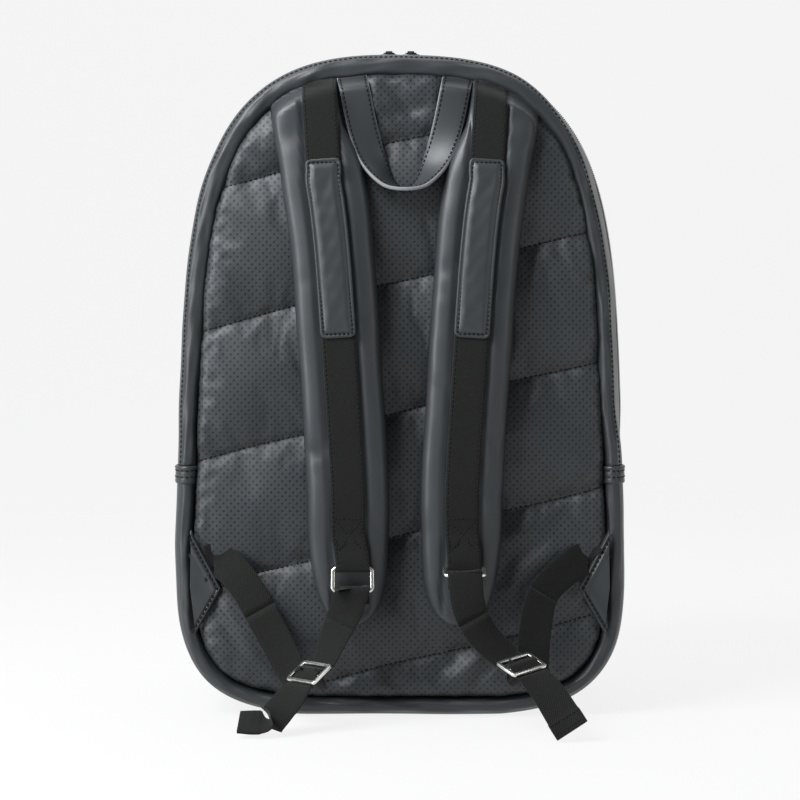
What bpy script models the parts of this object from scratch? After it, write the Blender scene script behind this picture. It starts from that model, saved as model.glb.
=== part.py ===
"""Racket backpack, standing upright.

The wearer's side faces -Y, +X is to the right of someone looking at that side, and z = 0 is the
floor under the flat base. Lengths are in metres.
"""
import math

import bmesh
import bpy
from mathutils import Matrix, Vector

# ---------------------------------------------------------------- body
SEAM_Z = 0.190            # seam between the upper body and the full boot
ARCH_RISE = 0.310         # upper body, from that seam to the top
ARCH_FLATNESS = 0.476     # powers of sine and cosine that square off the arch and the boot's corners
ARCH_FULLNESS = 0.714
BOOT_FLATNESS = 0.571
BOOT_FULLNESS = 0.5
CREST_SPACING = 1.6       # crowds the arch's points where it bends least in height
SIDE_HALF = 0.169         # half width at the seam
TOP_TAPER = 0.010         # how much narrower the half width gets towards the top
BOOT_HALF = SIDE_HALF + 0.002   # widest half width, low on the boot
TOP_Z = SEAM_Z + ARCH_RISE
BOOT_CURVE_Z = 0.130      # where the boot's lower corners start to round
BASE_FLAT = 1.0115        # above 1, so that the curve runs out onto a flat base
DEPTH = 0.183             # over the crests of the rolled rims
BACK_Y = -0.0925          # crest of the rim on the wearer's side
FRONT_Y = BACK_Y + DEPTH  # crest of the rim on the front
GUSSET_THICKNESS = 0.0024
RIM_INSET = 0.0145        # rolled rim, from the outline in to the groove
GAP = 0.0003              # clearance between pieces that touch

# ---------------------------------------------------------------- panels
PANEL_THICKNESS = 0.008
FOAM_THICKNESS = 0.003
FRONT_THICKNESS = 0.004
BASE_BOARD_HALF = BOOT_HALF - 0.096
BASE_BOARD_BACK = BACK_Y + 0.0275
BASE_BOARD_FRONT = FRONT_Y - 0.0255
BASE_BOARD_THICKNESS = 0.003
PANEL_RECESS = 0.0012     # the back panel's face stands this far past the rim's crest
FRONT_PANEL_RECESS = 0.0035   # the front panels' inner face sits this far inside the front crest
BAND_HEIGHT = 0.0135
BAND_THICKNESS = 0.0016

# ---------------------------------------------------------------- main zip
ZIP_Y = -0.030            # where the two rows of the coil meet
ZIP_TAPE_WIDTH = 0.0085
ZIP_TAPE_THICKNESS = 0.0010
COIL_RADIUS = 0.0013
SLIDER = (0.0130, 0.0095, 0.0040)
SLIDER_X = 0.0085         # parked place of each slider beside the centre line
PULL = (0.0070, 0.0300, 0.0016)
MAIN_PULL_DROOP = math.radians(13)

# ---------------------------------------------------------------- laptop sleeve
SLEEVE_HALF = SIDE_HALF - 0.041
SLEEVE_BOTTOM = 0.020
SLEEVE_TOP = 0.330
SLEEVE_DEPTH = 0.027
SLEEVE_WALL = 0.002
TAB_WIDTH = 0.030

# ---------------------------------------------------------------- front pocket
POCKET_HALF = SIDE_HALF - 0.057
POCKET_BOTTOM = 0.204
POCKET_TOP = TOP_Z - 0.116
POCKET_DEPTH = 0.020
POCKET_WALL = 0.0025
POCKET_ROUNDING = 0.0030
POCKET_ZIP_DROP = 0.016   # mouth, below the pocket's top
POCKET_MOUTH = 0.0100     # height of the mouth
POCKET_MOUTH_HALF = POCKET_HALF - 0.016

# ---------------------------------------------------------------- carrying system
STRAP_SHIFT = 0.0037      # the sewn-on straps and handle sit this far off the centre line
PAD_THICKNESS = 0.011
WEBBING_WIDTH = 0.025
WEBBING_THICKNESS = 0.0013
PATCH_WIDTH = 0.027
PATCH_LENGTH = 0.132
PATCH_THICKNESS = 0.0022
PAD_TOP_Z = TOP_Z - 0.0260
PAD_BOTTOM_Z = 0.0755
PATCH_TOP_Z = PAD_TOP_Z - 0.0550
# share of the way down, distance from the straps' middle line, width, and how far the pad's
# inner face stands off the crest of the back rim
PAD_STATIONS = (
    (0.000, 0.0765, 0.045, 0.0025),
    (0.085, 0.0715, 0.048, 0.0075),
    (0.173, 0.0610, 0.062, 0.0120),
    (0.299, 0.0540, 0.062, 0.0165),
    (0.525, 0.0475, 0.061, 0.0215),
    (0.738, 0.0425, 0.061, 0.0210),
    (0.838, 0.0421, 0.060, 0.0185),
    (0.928, 0.0408, 0.053, 0.0160),
    (0.979, 0.0408, 0.040, 0.0145),
    (1.000, 0.0410, 0.024, 0.0140),
)
STRAP_AXIS_TOP = (0.1060, BACK_Y - 0.0015, PAD_TOP_Z)

RING_WIRE = 0.0015
WRAP_RADIUS = RING_WIRE + WEBBING_THICKNESS / 2 + 0.0005   # middle of webbing turned round a bar
RING_WIDTH = WEBBING_WIDTH + 2 * (RING_WIRE + 0.0005)   # between the middles of the side bars
RING_HEIGHT = 0.0170      # between the middles of the top and bottom bars
RING_Z = 0.1170
RING_SHIFT = 0.0025
RING_TILT = {"left": math.radians(12), "right": math.radians(78)}

GLIDE_BAR = 0.0030
GLIDE_WIDTH = WEBBING_WIDTH + 2 * (GLIDE_BAR + GAP)
GLIDE_HEIGHT = 0.0220
GLIDE_THICKNESS = 0.0022
GLIDE_CENTRE = {"left": (-0.0665, -0.1425, 0.0425), "right": (0.0880, -0.1560, 0.0505)}
GLIDE_ACROSS = {"left": (0.684, -0.729, 0.013), "right": (0.806, 0.571, 0.152)}
GLIDE_UP = {"left": (0.607, 0.580, 0.540), "right": (-0.589, 0.745, 0.320)}

# what the adjuster webbing passes between the ring and the glide
ADJUSTER_WAY = {
    "left": ((-0.0405, -0.1285, 0.0850), (-0.0500, -0.1315, 0.0640)),
    "right": ((0.0505, -0.1445, 0.0900), (0.0610, -0.1450, 0.0700)),
}
TAIL_WAY = {
    "left": ((-0.0850, -0.1570, 0.0200), (-0.0960, -0.1660, 0.0075), (-0.1180, -0.1740, 0.0060)),
    "right": ((0.1060, -0.1740, 0.0330), (0.1150, -0.1830, 0.0190), (0.1230, -0.1900, 0.0060)),
}
TAIL_ACROSS = {"left": (0.55, 0.80, -0.10), "right": (0.900, -0.200, 0.100)}
# the anchor webbing starts beside the wing's tip and comes up under the glide's middle bar
WING = ((BOOT_HALF - 0.014, 0.1420), (BOOT_HALF - 0.037, 0.0985), (BOOT_HALF - 0.017, 0.0640))
WING_THICKNESS = 0.0032
ANCHOR_START = {"left": (0.0015, -0.1010, 0.0205), "right": (0.0060, -0.1010, 0.0225)}
ANCHOR_WAY = {
    "left": ((-0.1170, -0.1040, 0.1030), (-0.0930, -0.1110, 0.0620),
             (-0.0770, -0.1210, 0.0350)),
    "right": ((0.1270, -0.1040, 0.1150), (0.1070, -0.1120, 0.0960),
              (0.0995, -0.1220, 0.0640), (0.0970, -0.1340, 0.0370)),
}
ANCHOR_ACROSS = {
    "left": ((0.687, -0.05, 0.727), (0.80, -0.05, 0.60), (0.86, -0.15, 0.47), (0.80, -0.50, 0.25)),
    "right": ((-0.45, -0.05, 0.80), (-0.60, -0.20, 0.70), (-0.85, -0.30, 0.40), (-0.98, -0.20, 0.10),
              (-0.90, -0.45, 0.00)),
}

HANDLE_WIDTH = 0.0225
HANDLE_THICKNESS = 0.0032
HANDLE_AXIS_Z = TOP_Z - 0.0245
HANDLE_AXIS_Y = BACK_Y - 0.0060
# distance from the straps' middle line, how far the band stands out from its axis, how far
# down it is, and how far it has turned edge-on
HANDLE_STATIONS = (
    (0.0380, 0.0000, 0.0010, 0.00),
    (0.0315, 0.0015, 0.0325, 0.10),
    (0.0240, 0.0045, 0.0555, 0.35),
    (0.0130, 0.0095, 0.0735, 0.75),
    (0.0000, 0.0125, 0.0790, 1.00),
)

LEATHER = ((0.060, 0.066, 0.070), 0.48, 0.0)
PERFORATED = ((0.050, 0.055, 0.058), 0.55, 0.0)
TEXTILE = ((0.022, 0.024, 0.023), 0.85, 0.0)
LINING = ((0.070, 0.072, 0.075), 0.80, 0.0)
NICKEL = ((0.560, 0.560, 0.550), 0.28, 1.0)
NYLON = ((0.018, 0.018, 0.019), 0.45, 0.0)


# ---------------------------------------------------------------- helpers
def start_collections():
    """Clear the scene, then make one collection for the parts and one for the cutters."""
    for obj in list(bpy.data.objects):
        bpy.data.objects.remove(obj)
    parts = bpy.data.collections.new("racket_backpack")
    cutters = bpy.data.collections.new("cutters")
    bpy.context.scene.collection.children.link(parts)
    bpy.context.scene.collection.children.link(cutters)
    return parts, cutters


PARTS, CUTTERS = start_collections()


def finish(obj, look):
    """Give a piece its own material."""
    colour, roughness, metallic = look
    mat = bpy.data.materials.new(obj.name + "_finish")
    mat.use_nodes = True
    shader = mat.node_tree.nodes["Principled BSDF"]
    shader.inputs["Base Color"].default_value = (*colour, 1.0)
    shader.inputs["Roughness"].default_value = roughness
    shader.inputs["Metallic"].default_value = metallic
    obj.data.materials.append(mat)
    return obj


def object_from(name, bm, look):
    """Store a bmesh as a named, smooth-shaded part."""
    mesh = bpy.data.meshes.new(name)
    bm.to_mesh(mesh)
    bm.free()
    mesh.shade_smooth()
    mesh.set_sharp_from_angle(angle=math.radians(35))
    obj = bpy.data.objects.new(name, mesh)
    PARTS.objects.link(obj)
    return finish(obj, look)


def grid(name, rows, look):
    """An open surface through rows of points; it faces (along the rows) x (across a row)."""
    bm = bmesh.new()
    verts = [[bm.verts.new(point) for point in row] for row in rows]
    for first, second in zip(verts, verts[1:]):
        for a, b, c, d in zip(first, second, second[1:], first[1:]):
            bm.faces.new((a, b, c, d))
    return object_from(name, bm, look)


def thicken(obj, thickness, offset=0.0):
    """Turn an open surface into a closed sheet."""
    solid = obj.modifiers.new("thickness", "SOLIDIFY")
    solid.thickness = thickness
    solid.offset = offset
    return obj


def round_edges(obj, width, segments=2):
    bevel = obj.modifiers.new("round_edges", "BEVEL")
    bevel.width = width
    bevel.segments = segments
    bevel.limit_method = "ANGLE"
    bevel.angle_limit = math.radians(50)
    return obj


def box_mesh(low, high):
    """A cube primitive stretched between two corners."""
    low, high = Vector(low), Vector(high)
    bm = bmesh.new()
    bmesh.ops.create_cube(bm, size=1.0)
    size = high - low
    bmesh.ops.transform(bm, matrix=Matrix.Diagonal((*size, 1.0)), verts=bm.verts)
    bmesh.ops.translate(bm, vec=(low + high) / 2, verts=bm.verts)
    return bm


def box(name, low, high, look):
    return object_from(name, box_mesh(low, high), look)


def cut(obj, low, high):
    """Cut a box out of a part."""
    mesh = bpy.data.meshes.new(obj.name + "_cutter")
    bm = box_mesh(low, high)
    bm.to_mesh(mesh)
    bm.free()
    cutter = bpy.data.objects.new(mesh.name, mesh)
    CUTTERS.objects.link(cutter)
    cutter.display_type = "WIRE"
    cutter.hide_render = True
    boolean = obj.modifiers.new("cut", "BOOLEAN")
    boolean.operation = "DIFFERENCE"
    boolean.object = cutter
    return obj


def flat_plate(name, outlines, thickness, look, bevel=0.0):
    """A plate between closed outlines; local X and Y run across it and local Z through it."""
    curve = bpy.data.curves.new(name, "CURVE")
    curve.dimensions = "2D"
    curve.fill_mode = "BOTH"
    curve.extrude = thickness / 2 - bevel
    curve.bevel_depth = bevel
    curve.bevel_resolution = 0
    curve.offset = -bevel
    for outline in outlines:
        spline = curve.splines.new("POLY")
        spline.points.add(len(outline) - 1)
        for point, (x, y) in zip(spline.points, outline):
            point.co = (x, y, 0, 1)
        spline.use_cyclic_u = True
    obj = bpy.data.objects.new(name, curve)
    PARTS.objects.link(obj)
    return finish(obj, look)


def upright_plate(name, outline, low_y, thickness, look, bevel=0.0):
    """A plate that faces -Y, from an outline in x and z."""
    plate = flat_plate(name, [outline], thickness, look, bevel)
    plate.rotation_euler = (math.radians(90), 0, 0)
    plate.location = (0, low_y + thickness / 2, 0)
    return plate


def tube(name, points, radius, look, cyclic=False, sides=2):
    curve = bpy.data.curves.new(name, "CURVE")
    curve.dimensions = "3D"
    curve.bevel_depth = radius
    curve.bevel_resolution = sides
    curve.use_fill_caps = True
    spline = curve.splines.new("POLY")
    spline.points.add(len(points) - 1)
    for point, co in zip(spline.points, points):
        point.co = (*co, 1)
    spline.use_cyclic_u = cyclic
    obj = bpy.data.objects.new(name, curve)
    PARTS.objects.link(obj)
    return finish(obj, look)


def pivot(name, place, children):
    """An empty on a joint's axis that carries the pieces which move about it."""
    empty = bpy.data.objects.new(name, None)
    empty.location = place
    empty.empty_display_size = 0.01
    PARTS.objects.link(empty)
    for child in children:
        child.parent = empty
        child.matrix_parent_inverse = Matrix.Translation(Vector(place)).inverted()
    return empty


def smooth(points, steps):
    """Points on a Catmull-Rom curve through the given ones."""
    points = [Vector(point) for point in points]
    ends = [2 * points[0] - points[1]] + points + [2 * points[-1] - points[-2]]
    out = []
    for p0, p1, p2, p3 in zip(ends, ends[1:], ends[2:], ends[3:]):
        for step in range(steps):
            t = step / steps
            out.append(0.5 * (2 * p1 + (p2 - p0) * t + (2 * p0 - 5 * p1 + 4 * p2 - p3) * t * t
                              + (3 * p1 - p0 - 3 * p2 + p3) * t ** 3))
    out.append(points[-1])
    return out


def ribbon(name, path, across, width, thickness, look):
    """A flat strap along a path, each point with its own direction across the strap."""
    rows = []
    for centre, side in zip(path, across):
        half = Vector(side).normalized() * width / 2
        rows.append([Vector(centre) - half, Vector(centre) + half])
    return thicken(grid(name, rows, look), thickness)


def offset_line(points, distance):
    """Move an open line of 2D points to its right by a distance."""
    moved = []
    for index, (x, y) in enumerate(points):
        before = Vector(points[max(index - 1, 0)])
        after = Vector(points[min(index + 1, len(points) - 1)])
        along = (after - before).normalized()
        moved.append((x + along.y * distance, y - along.x * distance))
    return moved


# ---------------------------------------------------------------- outline
def arch_outline(count=16):
    """Upper body as (x, z), from the right side over the top to the left side."""
    angles = [math.pi / 2 * (k / count) ** CREST_SPACING for k in range(count + 1)]
    half = []
    for angle in angles:
        rise = math.sin(angle) ** ARCH_FLATNESS
        reach = max(math.cos(angle), 0) ** ARCH_FULLNESS
        half.append(((SIDE_HALF - TOP_TAPER * rise) * reach, SEAM_Z + ARCH_RISE * rise))
    half[-1] = (0.0, SEAM_Z + ARCH_RISE)
    return half + [(-x, z) for x, z in reversed(half[:-1])]


def boot_outline(count=8):
    """Boot as (x, z), from the left side at the seam under the base to the right side."""
    half = [(SIDE_HALF, SEAM_Z), ((SIDE_HALF + BOOT_HALF) / 2, (SEAM_Z + BOOT_CURVE_Z) / 2)]
    for k in range(count):
        angle = math.pi / 2 * k / count
        drop = min(1.0, BASE_FLAT * math.sin(angle) ** BOOT_FLATNESS)
        half.append((BOOT_HALF * math.cos(angle) ** BOOT_FULLNESS, BOOT_CURVE_Z * (1 - drop)))
    return [(-x, z) for x, z in half] + list(reversed(half))


def inset_outline(line, inset):
    """An outline moved inwards; it runs anticlockwise seen from the wearer's side."""
    return offset_line(line, -inset)


def sweep(outline, profile):
    """Rows of points: the profile's (inset, y) carried along an outline, facing outwards."""
    insets = {inset: inset_outline(outline, inset) for inset, y in profile}
    rows = []
    for index in range(len(outline)):
        row = []
        for inset, y in profile:
            x, z = insets[inset][index]
            row.append((x, y, z))
        rows.append(row)
    return rows


def rim(crest_y, towards):
    """The rolled rim's (inset, y) from the outline in to the groove; towards is -1 at the back."""
    return [
        (0.0, crest_y - towards * 0.0145),
        (0.0022, crest_y - towards * 0.0055),
        (0.0070, crest_y),
        (0.0118, crest_y - towards * 0.0012),
        (RIM_INSET, crest_y - towards * 0.0060),
    ]


ARCH = arch_outline()
BOOT = boot_outline()
PANEL_INSET = RIM_INSET + 0.0009


# ---------------------------------------------------------------- static body
def body_shells():
    """Upper rear gusset, boot and the side bands that cover their seam."""
    rear = [(0.0, ZIP_Y - ZIP_TAPE_WIDTH - GAP)] + rim(BACK_Y, -1)
    upper = grid("rear_gusset", sweep(ARCH, rear), LEATHER)
    thicken(upper, GUSSET_THICKNESS, -1.0)
    around = list(reversed(rim(FRONT_Y, 1))) + rim(BACK_Y, -1)
    lower_line = [(x, min(z, SEAM_Z - GAP)) for x, z in BOOT]
    lower = grid("boot_gusset", sweep(lower_line, around), LEATHER)
    thicken(lower, GUSSET_THICKNESS, -1.0)
    for side, sign in (("left", -1), ("right", 1)):
        band(side, sign, around)


def band(side, sign, around):
    """The folded leather band over the seam on one side."""
    proud = GAP + BAND_THICKNESS / 2
    profile = offset_line(around[1:-1], proud)
    top, low = SEAM_Z - GAP, SEAM_Z - BAND_HEIGHT
    slope = (BOOT_HALF - SIDE_HALF) / (SEAM_Z - BOOT_CURVE_Z)
    rows = []
    for z in (low, top):
        half = SIDE_HALF + (SEAM_Z - z) * slope
        rows.append([(sign * (half - inset), y, z) for inset, y in profile])
    thicken(grid("side_band_" + side, rows, LEATHER), BAND_THICKNESS)


def back():
    """Quilted back panel, the foam sheet behind it and the board in the base."""
    full = inset_outline(ARCH[:-1], PANEL_INSET) + inset_outline(BOOT[:-1], PANEL_INSET)
    panel_face = BACK_Y - PANEL_RECESS
    upright_plate("back_panel", full, panel_face, PANEL_THICKNESS, PERFORATED, bevel=0.003)
    foam_y = panel_face + PANEL_THICKNESS + GAP
    upright_plate("back_foam_sheet", full, foam_y, FOAM_THICKNESS, LINING)
    board_z = GUSSET_THICKNESS + GAP
    box("base_board", (-BASE_BOARD_HALF, BASE_BOARD_BACK, board_z),
        (BASE_BOARD_HALF, BASE_BOARD_FRONT, board_z + BASE_BOARD_THICKNESS), LINING)
    return foam_y + FOAM_THICKNESS


def boot_front():
    line = [(x, min(z, SEAM_Z - GAP)) for x, z in inset_outline(BOOT, PANEL_INSET)]
    line[0] = (line[0][0], SEAM_Z - GAP)
    line[-1] = (line[-1][0], SEAM_Z - GAP)
    upright_plate("boot_front", line, FRONT_Y - FRONT_PANEL_RECESS, FRONT_THICKNESS, LEATHER)


def laptop_sleeve(back_face):
    """A tray open at the top and towards the back, with its closing tab."""
    y0 = back_face + GAP
    y1 = y0 + SLEEVE_DEPTH
    sleeve = box("laptop_sleeve", (-SLEEVE_HALF, y0, SLEEVE_BOTTOM), (SLEEVE_HALF, y1, SLEEVE_TOP), LINING)
    inner = SLEEVE_HALF - SLEEVE_WALL
    cut(sleeve, (-inner, y0 - 0.01, SLEEVE_BOTTOM + SLEEVE_WALL), (inner, y1 - SLEEVE_WALL, SLEEVE_TOP + 0.01))
    tab_top = SLEEVE_TOP + 0.035
    path = [(0, y0 + 0.001, tab_top), (0, y0 + 0.006, tab_top + 0.003), (0, y1 - 0.004, SLEEVE_TOP + 0.018),
            (0, y1 + 0.0011, SLEEVE_TOP), (0, y1 + 0.0011, SLEEVE_TOP - 0.035)]
    way = smooth(path, 3)
    ribbon("laptop_tab", way, [(1, 0, 0)] * len(way), TAB_WIDTH, 0.0015, TEXTILE)


# ---------------------------------------------------------------- zips
def main_zip():
    """Tape and coil rows of the main zip, one half on each side of ZIP_Y."""
    for side, sign in (("rear", -1), ("front", 1)):
        near, far = ZIP_Y + sign * 0.0004, ZIP_Y + sign * ZIP_TAPE_WIDTH
        profile = [(0.0, max(near, far)), (0.0, min(near, far))]
        tape = grid("main_zip_tape_" + side, sweep(ARCH, profile), TEXTILE)
        thicken(tape, ZIP_TAPE_THICKNESS, -1.0)
        line = offset_line(ARCH, COIL_RADIUS + GAP)
        y = ZIP_Y + sign * (COIL_RADIUS + GAP)
        tube("main_zip_coil_" + side, [(x, y, z) for x, z in line], COIL_RADIUS, NYLON, sides=0)


def slider_and_pull(name, centre, long_axis, out, pull_way, droop=0.0):
    """A zip slider block and the pull that lies along pull_way; out points away from the tape."""
    long_axis, out, pull_way = Vector(long_axis), Vector(out), Vector(pull_way)
    cross = out.cross(long_axis)
    frame = Matrix((long_axis, cross, out)).transposed().to_4x4()
    length, width, height = SLIDER
    body = box_mesh((-length / 2, -width / 2, 0), (length / 2, width / 2, height))
    bmesh.ops.transform(body, matrix=Matrix.Translation(centre) @ frame, verts=body.verts)
    slider = round_edges(object_from(name + "_slider", body, NICKEL), 0.0008, 1)
    wide, long, thick = PULL
    hinge = Vector(centre) + out * (height + 0.0012) + pull_way * (width / 2 - 0.0005)
    leaf_way = pull_way * math.cos(droop) - out * math.sin(droop)
    leaf_out = out * math.cos(droop) + pull_way * math.sin(droop)
    pull_frame = Matrix((leaf_way.cross(leaf_out), leaf_way, leaf_out)).transposed().to_4x4()
    leaf = box_mesh((-wide / 2, 0, -thick / 2), (wide / 2, long, thick / 2))
    bmesh.ops.transform(leaf, matrix=Matrix.Translation(hinge) @ pull_frame, verts=leaf.verts)
    pull = round_edges(object_from(name + "_pull", leaf, NICKEL), 0.0006, 1)
    pivot(name + "_slider_axis", centre, [slider])
    pivot(name + "_pull_axis", hinge, [pull])
    return hinge


def main_sliders():
    height = TOP_Z + 2 * COIL_RADIUS + 2 * GAP + 0.0003
    for side, sign in (("left", -1), ("right", 1)):
        centre = (sign * SLIDER_X, ZIP_Y, height)
        slider_and_pull("main_" + side, centre, (1, 0, 0), (0, 0, 1), (0, 1, 0), MAIN_PULL_DROOP)


# ---------------------------------------------------------------- front flap
def front_flap():
    """Front gusset and front panel of the upper body, which open together."""
    line = [(x, max(z, SEAM_Z + GAP)) for x, z in ARCH]
    profile = list(reversed(rim(FRONT_Y, 1))) + [(0.0, ZIP_Y + ZIP_TAPE_WIDTH + GAP)]
    shell = grid("flap_gusset", sweep(line, profile), LEATHER)
    thicken(shell, GUSSET_THICKNESS, -1.0)
    inner = [(x, max(z, SEAM_Z + GAP)) for x, z in inset_outline(ARCH, PANEL_INSET)]
    inner[0] = (inner[0][0], SEAM_Z + GAP)
    inner[-1] = (inner[-1][0], SEAM_Z + GAP)
    upright_plate("flap_panel", inner, FRONT_Y - FRONT_PANEL_RECESS, FRONT_THICKNESS, LEATHER)
    return FRONT_Y - FRONT_PANEL_RECESS + FRONT_THICKNESS


def front_pocket(face_y):
    """A zipped pocket sewn on the front panel."""
    y0 = face_y + GAP
    y1 = y0 + POCKET_DEPTH
    shell = box("pocket_shell", (-POCKET_HALF, y0, POCKET_BOTTOM), (POCKET_HALF, y1, POCKET_TOP), LEATHER)
    round_edges(shell, POCKET_ROUNDING)
    wall = POCKET_WALL
    cut(shell, (-POCKET_HALF + wall, y0 - 0.01, POCKET_BOTTOM + wall),
        (POCKET_HALF - wall, y1 - wall, POCKET_TOP - wall))
    mouth_top = POCKET_TOP - POCKET_ZIP_DROP
    mouth_low = mouth_top - POCKET_MOUTH
    cut(shell, (-POCKET_MOUTH_HALF, y1 - 0.01, mouth_low), (POCKET_MOUTH_HALF, y1 + 0.01, mouth_top))
    inner = POCKET_MOUTH_HALF - GAP
    box("pocket_zip_tape", (-inner, y1 - 0.0016, mouth_low + GAP), (inner, y1 - 0.0006, mouth_top - GAP), TEXTILE)
    middle = (mouth_top + mouth_low) / 2
    coil_y = y1 - 0.0006 + GAP + COIL_RADIUS
    tube("pocket_zip_coil", [(-inner, coil_y, middle), (inner, coil_y, middle)], COIL_RADIUS, NYLON)
    start = -inner + SLIDER[0] / 2 + 0.002
    centre = (start, coil_y + COIL_RADIUS + GAP, middle)
    slider_and_pull("pocket", centre, (1, 0, 0), (0, 1, 0), (0, 0, -1))


# ---------------------------------------------------------------- carrying system
def strap_x(sign, reach):
    return STRAP_SHIFT + sign * reach


def pad_line(sign, steps=3):
    """Centre points of a pad's inner face, and the width at each."""
    length = PAD_TOP_Z - PAD_BOTTOM_Z
    stations = [(reach, BACK_Y - off, PAD_TOP_Z - share * length) for share, reach, width, off in PAD_STATIONS]
    points = smooth(stations, steps)
    widths = smooth([(width, 0, 0) for share, reach, width, off in PAD_STATIONS], steps)
    return [Vector((strap_x(sign, p.x), p.y, p.z)) for p in points], [w.x for w in widths]


def pad_place(sign, z):
    """Point on the middle of a pad's inner face at a height."""
    line, widths = pad_line(sign, 6)
    for above, below in zip(line, line[1:]):
        if above.z >= z >= below.z:
            share = (above.z - z) / (above.z - below.z)
            return above.lerp(below, share)
    return line[-1]


def pad_across(sign, z):
    """Across a pad: level lower down, sloping with the rim at the top."""
    rise = max(0.0, 1 - (PAD_TOP_Z - z) / 0.034)
    return Vector((1, 0, -sign * 0.16 * rise))


def pad(side, sign):
    line, widths = pad_line(sign, 2)
    rows = []
    for centre, width in zip(line, widths):
        half = pad_across(sign, centre.z) * width / 2
        middle = centre - Vector((0, PAD_THICKNESS / 2, 0))
        rows.append([middle + half * step for step in (-1, -0.6, 0, 0.6, 1)])
    body = thicken(grid("pad_" + side, rows, LEATHER), PAD_THICKNESS)
    return round_edges(body, 0.0035)


def webbing_lift():
    """How far the pad webbing's middle stands off the pad's inner face."""
    return PAD_THICKNESS + 2.5 * GAP + WEBBING_THICKNESS / 2


def ring_place(side, sign):
    """Middle of the ring's top bar."""
    point = pad_place(sign, RING_Z)
    return Vector((point.x + RING_SHIFT, point.y - webbing_lift() - WRAP_RADIUS, RING_Z))


def pad_webbing(side, sign):
    """Webbing down the pad's face that turns round the ring's top bar."""
    bar = ring_place(side, sign)
    first, last, count = PAD_TOP_Z - 0.004, bar.z + 0.025, 16
    path = []
    for k in range(count + 1):
        point = pad_place(sign, first + (last - first) * k / count)
        path.append(point - Vector((0, webbing_lift(), 0)))
    turn = WRAP_RADIUS
    path.append(bar + Vector((0, -turn, 0.0060)))
    for degrees in (0, 45, 90, 135, 180):
        angle = math.radians(degrees)
        path.append(bar + Vector((0, -turn * math.cos(angle), -turn * math.sin(angle))))
    path.append(bar + Vector((0, turn, 0.0050)))
    across = [pad_across(sign, point.z) for point in path]
    return ribbon("pad_webbing_" + side, path, across, WEBBING_WIDTH, WEBBING_THICKNESS, TEXTILE)


def patch(side, sign):
    """Sewn leather patch over the upper webbing."""
    lift = webbing_lift() + WEBBING_THICKNESS / 2 + GAP + PATCH_THICKNESS / 2
    path = []
    for k in range(9):
        point = pad_place(sign, PATCH_TOP_Z - PATCH_LENGTH * k / 8)
        path.append(point - Vector((0, lift, 0)))
    body = ribbon("patch_" + side, path, [(1, 0, 0)] * 9, PATCH_WIDTH, PATCH_THICKNESS, LEATHER)
    return round_edges(body, 0.0006, 1)


def ring(side, sign):
    """Rectangular wire ring that joins the pad to the adjuster webbing."""
    top = ring_place(side, sign)
    tilt = RING_TILT[side]
    down = Vector((0, -math.sin(tilt), -math.cos(tilt)))
    right = Vector((1, 0, 0))
    corner = 0.003
    half = RING_WIDTH / 2
    points = []
    for sx, v, start in ((1, RING_HEIGHT, 0), (-1, RING_HEIGHT, 90), (-1, 0, 180), (1, 0, 270)):
        centre_x = sx * (half - corner)
        centre_v = v - corner if v else corner
        for degrees in (start, start + 30, start + 60, start + 90):
            angle = math.radians(degrees)
            offset = (corner * math.cos(angle), corner * math.sin(angle))
            points.append(top + right * (centre_x + offset[0]) + down * (centre_v + offset[1]))
    body = tube("ring_" + side, points, RING_WIRE, NICKEL, cyclic=True, sides=0)
    pivot("ring_axis_" + side, top, [body])
    return top + down * RING_HEIGHT


def glide_frame(side):
    across = Vector(GLIDE_ACROSS[side]).normalized()
    up = Vector(GLIDE_UP[side])
    up = (up - across * up.dot(across)).normalized()
    return across, up, across.cross(up)


def rounded(half_x, low, high, radius):
    """A rectangle with rounded corners as points."""
    points = []
    corners = ((half_x, high, 0), (-half_x, high, 90), (-half_x, low, 180), (half_x, low, 270))
    for x, y, start in corners:
        cx = x - math.copysign(radius, x)
        cy = y - radius if y == high else y + radius
        for degrees in (start, start + 45, start + 90):
            angle = math.radians(degrees)
            points.append((cx + radius * math.cos(angle), cy + radius * math.sin(angle)))
    return points


def glide(side):
    """Three-bar glide with two slots."""
    half, tall, bar = GLIDE_WIDTH / 2, GLIDE_HEIGHT / 2, GLIDE_BAR
    outlines = [
        rounded(half, -tall, tall, 0.0025),
        rounded(half - bar, bar / 2, tall - bar, 0.0008),
        rounded(half - bar, -tall + bar, -bar / 2, 0.0008),
    ]
    body = flat_plate("glide_" + side, outlines, GLIDE_THICKNESS, NICKEL, bevel=0.0005)
    across, up, out = glide_frame(side)
    frame = Matrix((across, up, out)).transposed().to_4x4()
    body.matrix_world = Matrix.Translation(GLIDE_CENTRE[side]) @ frame
    return body


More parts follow.
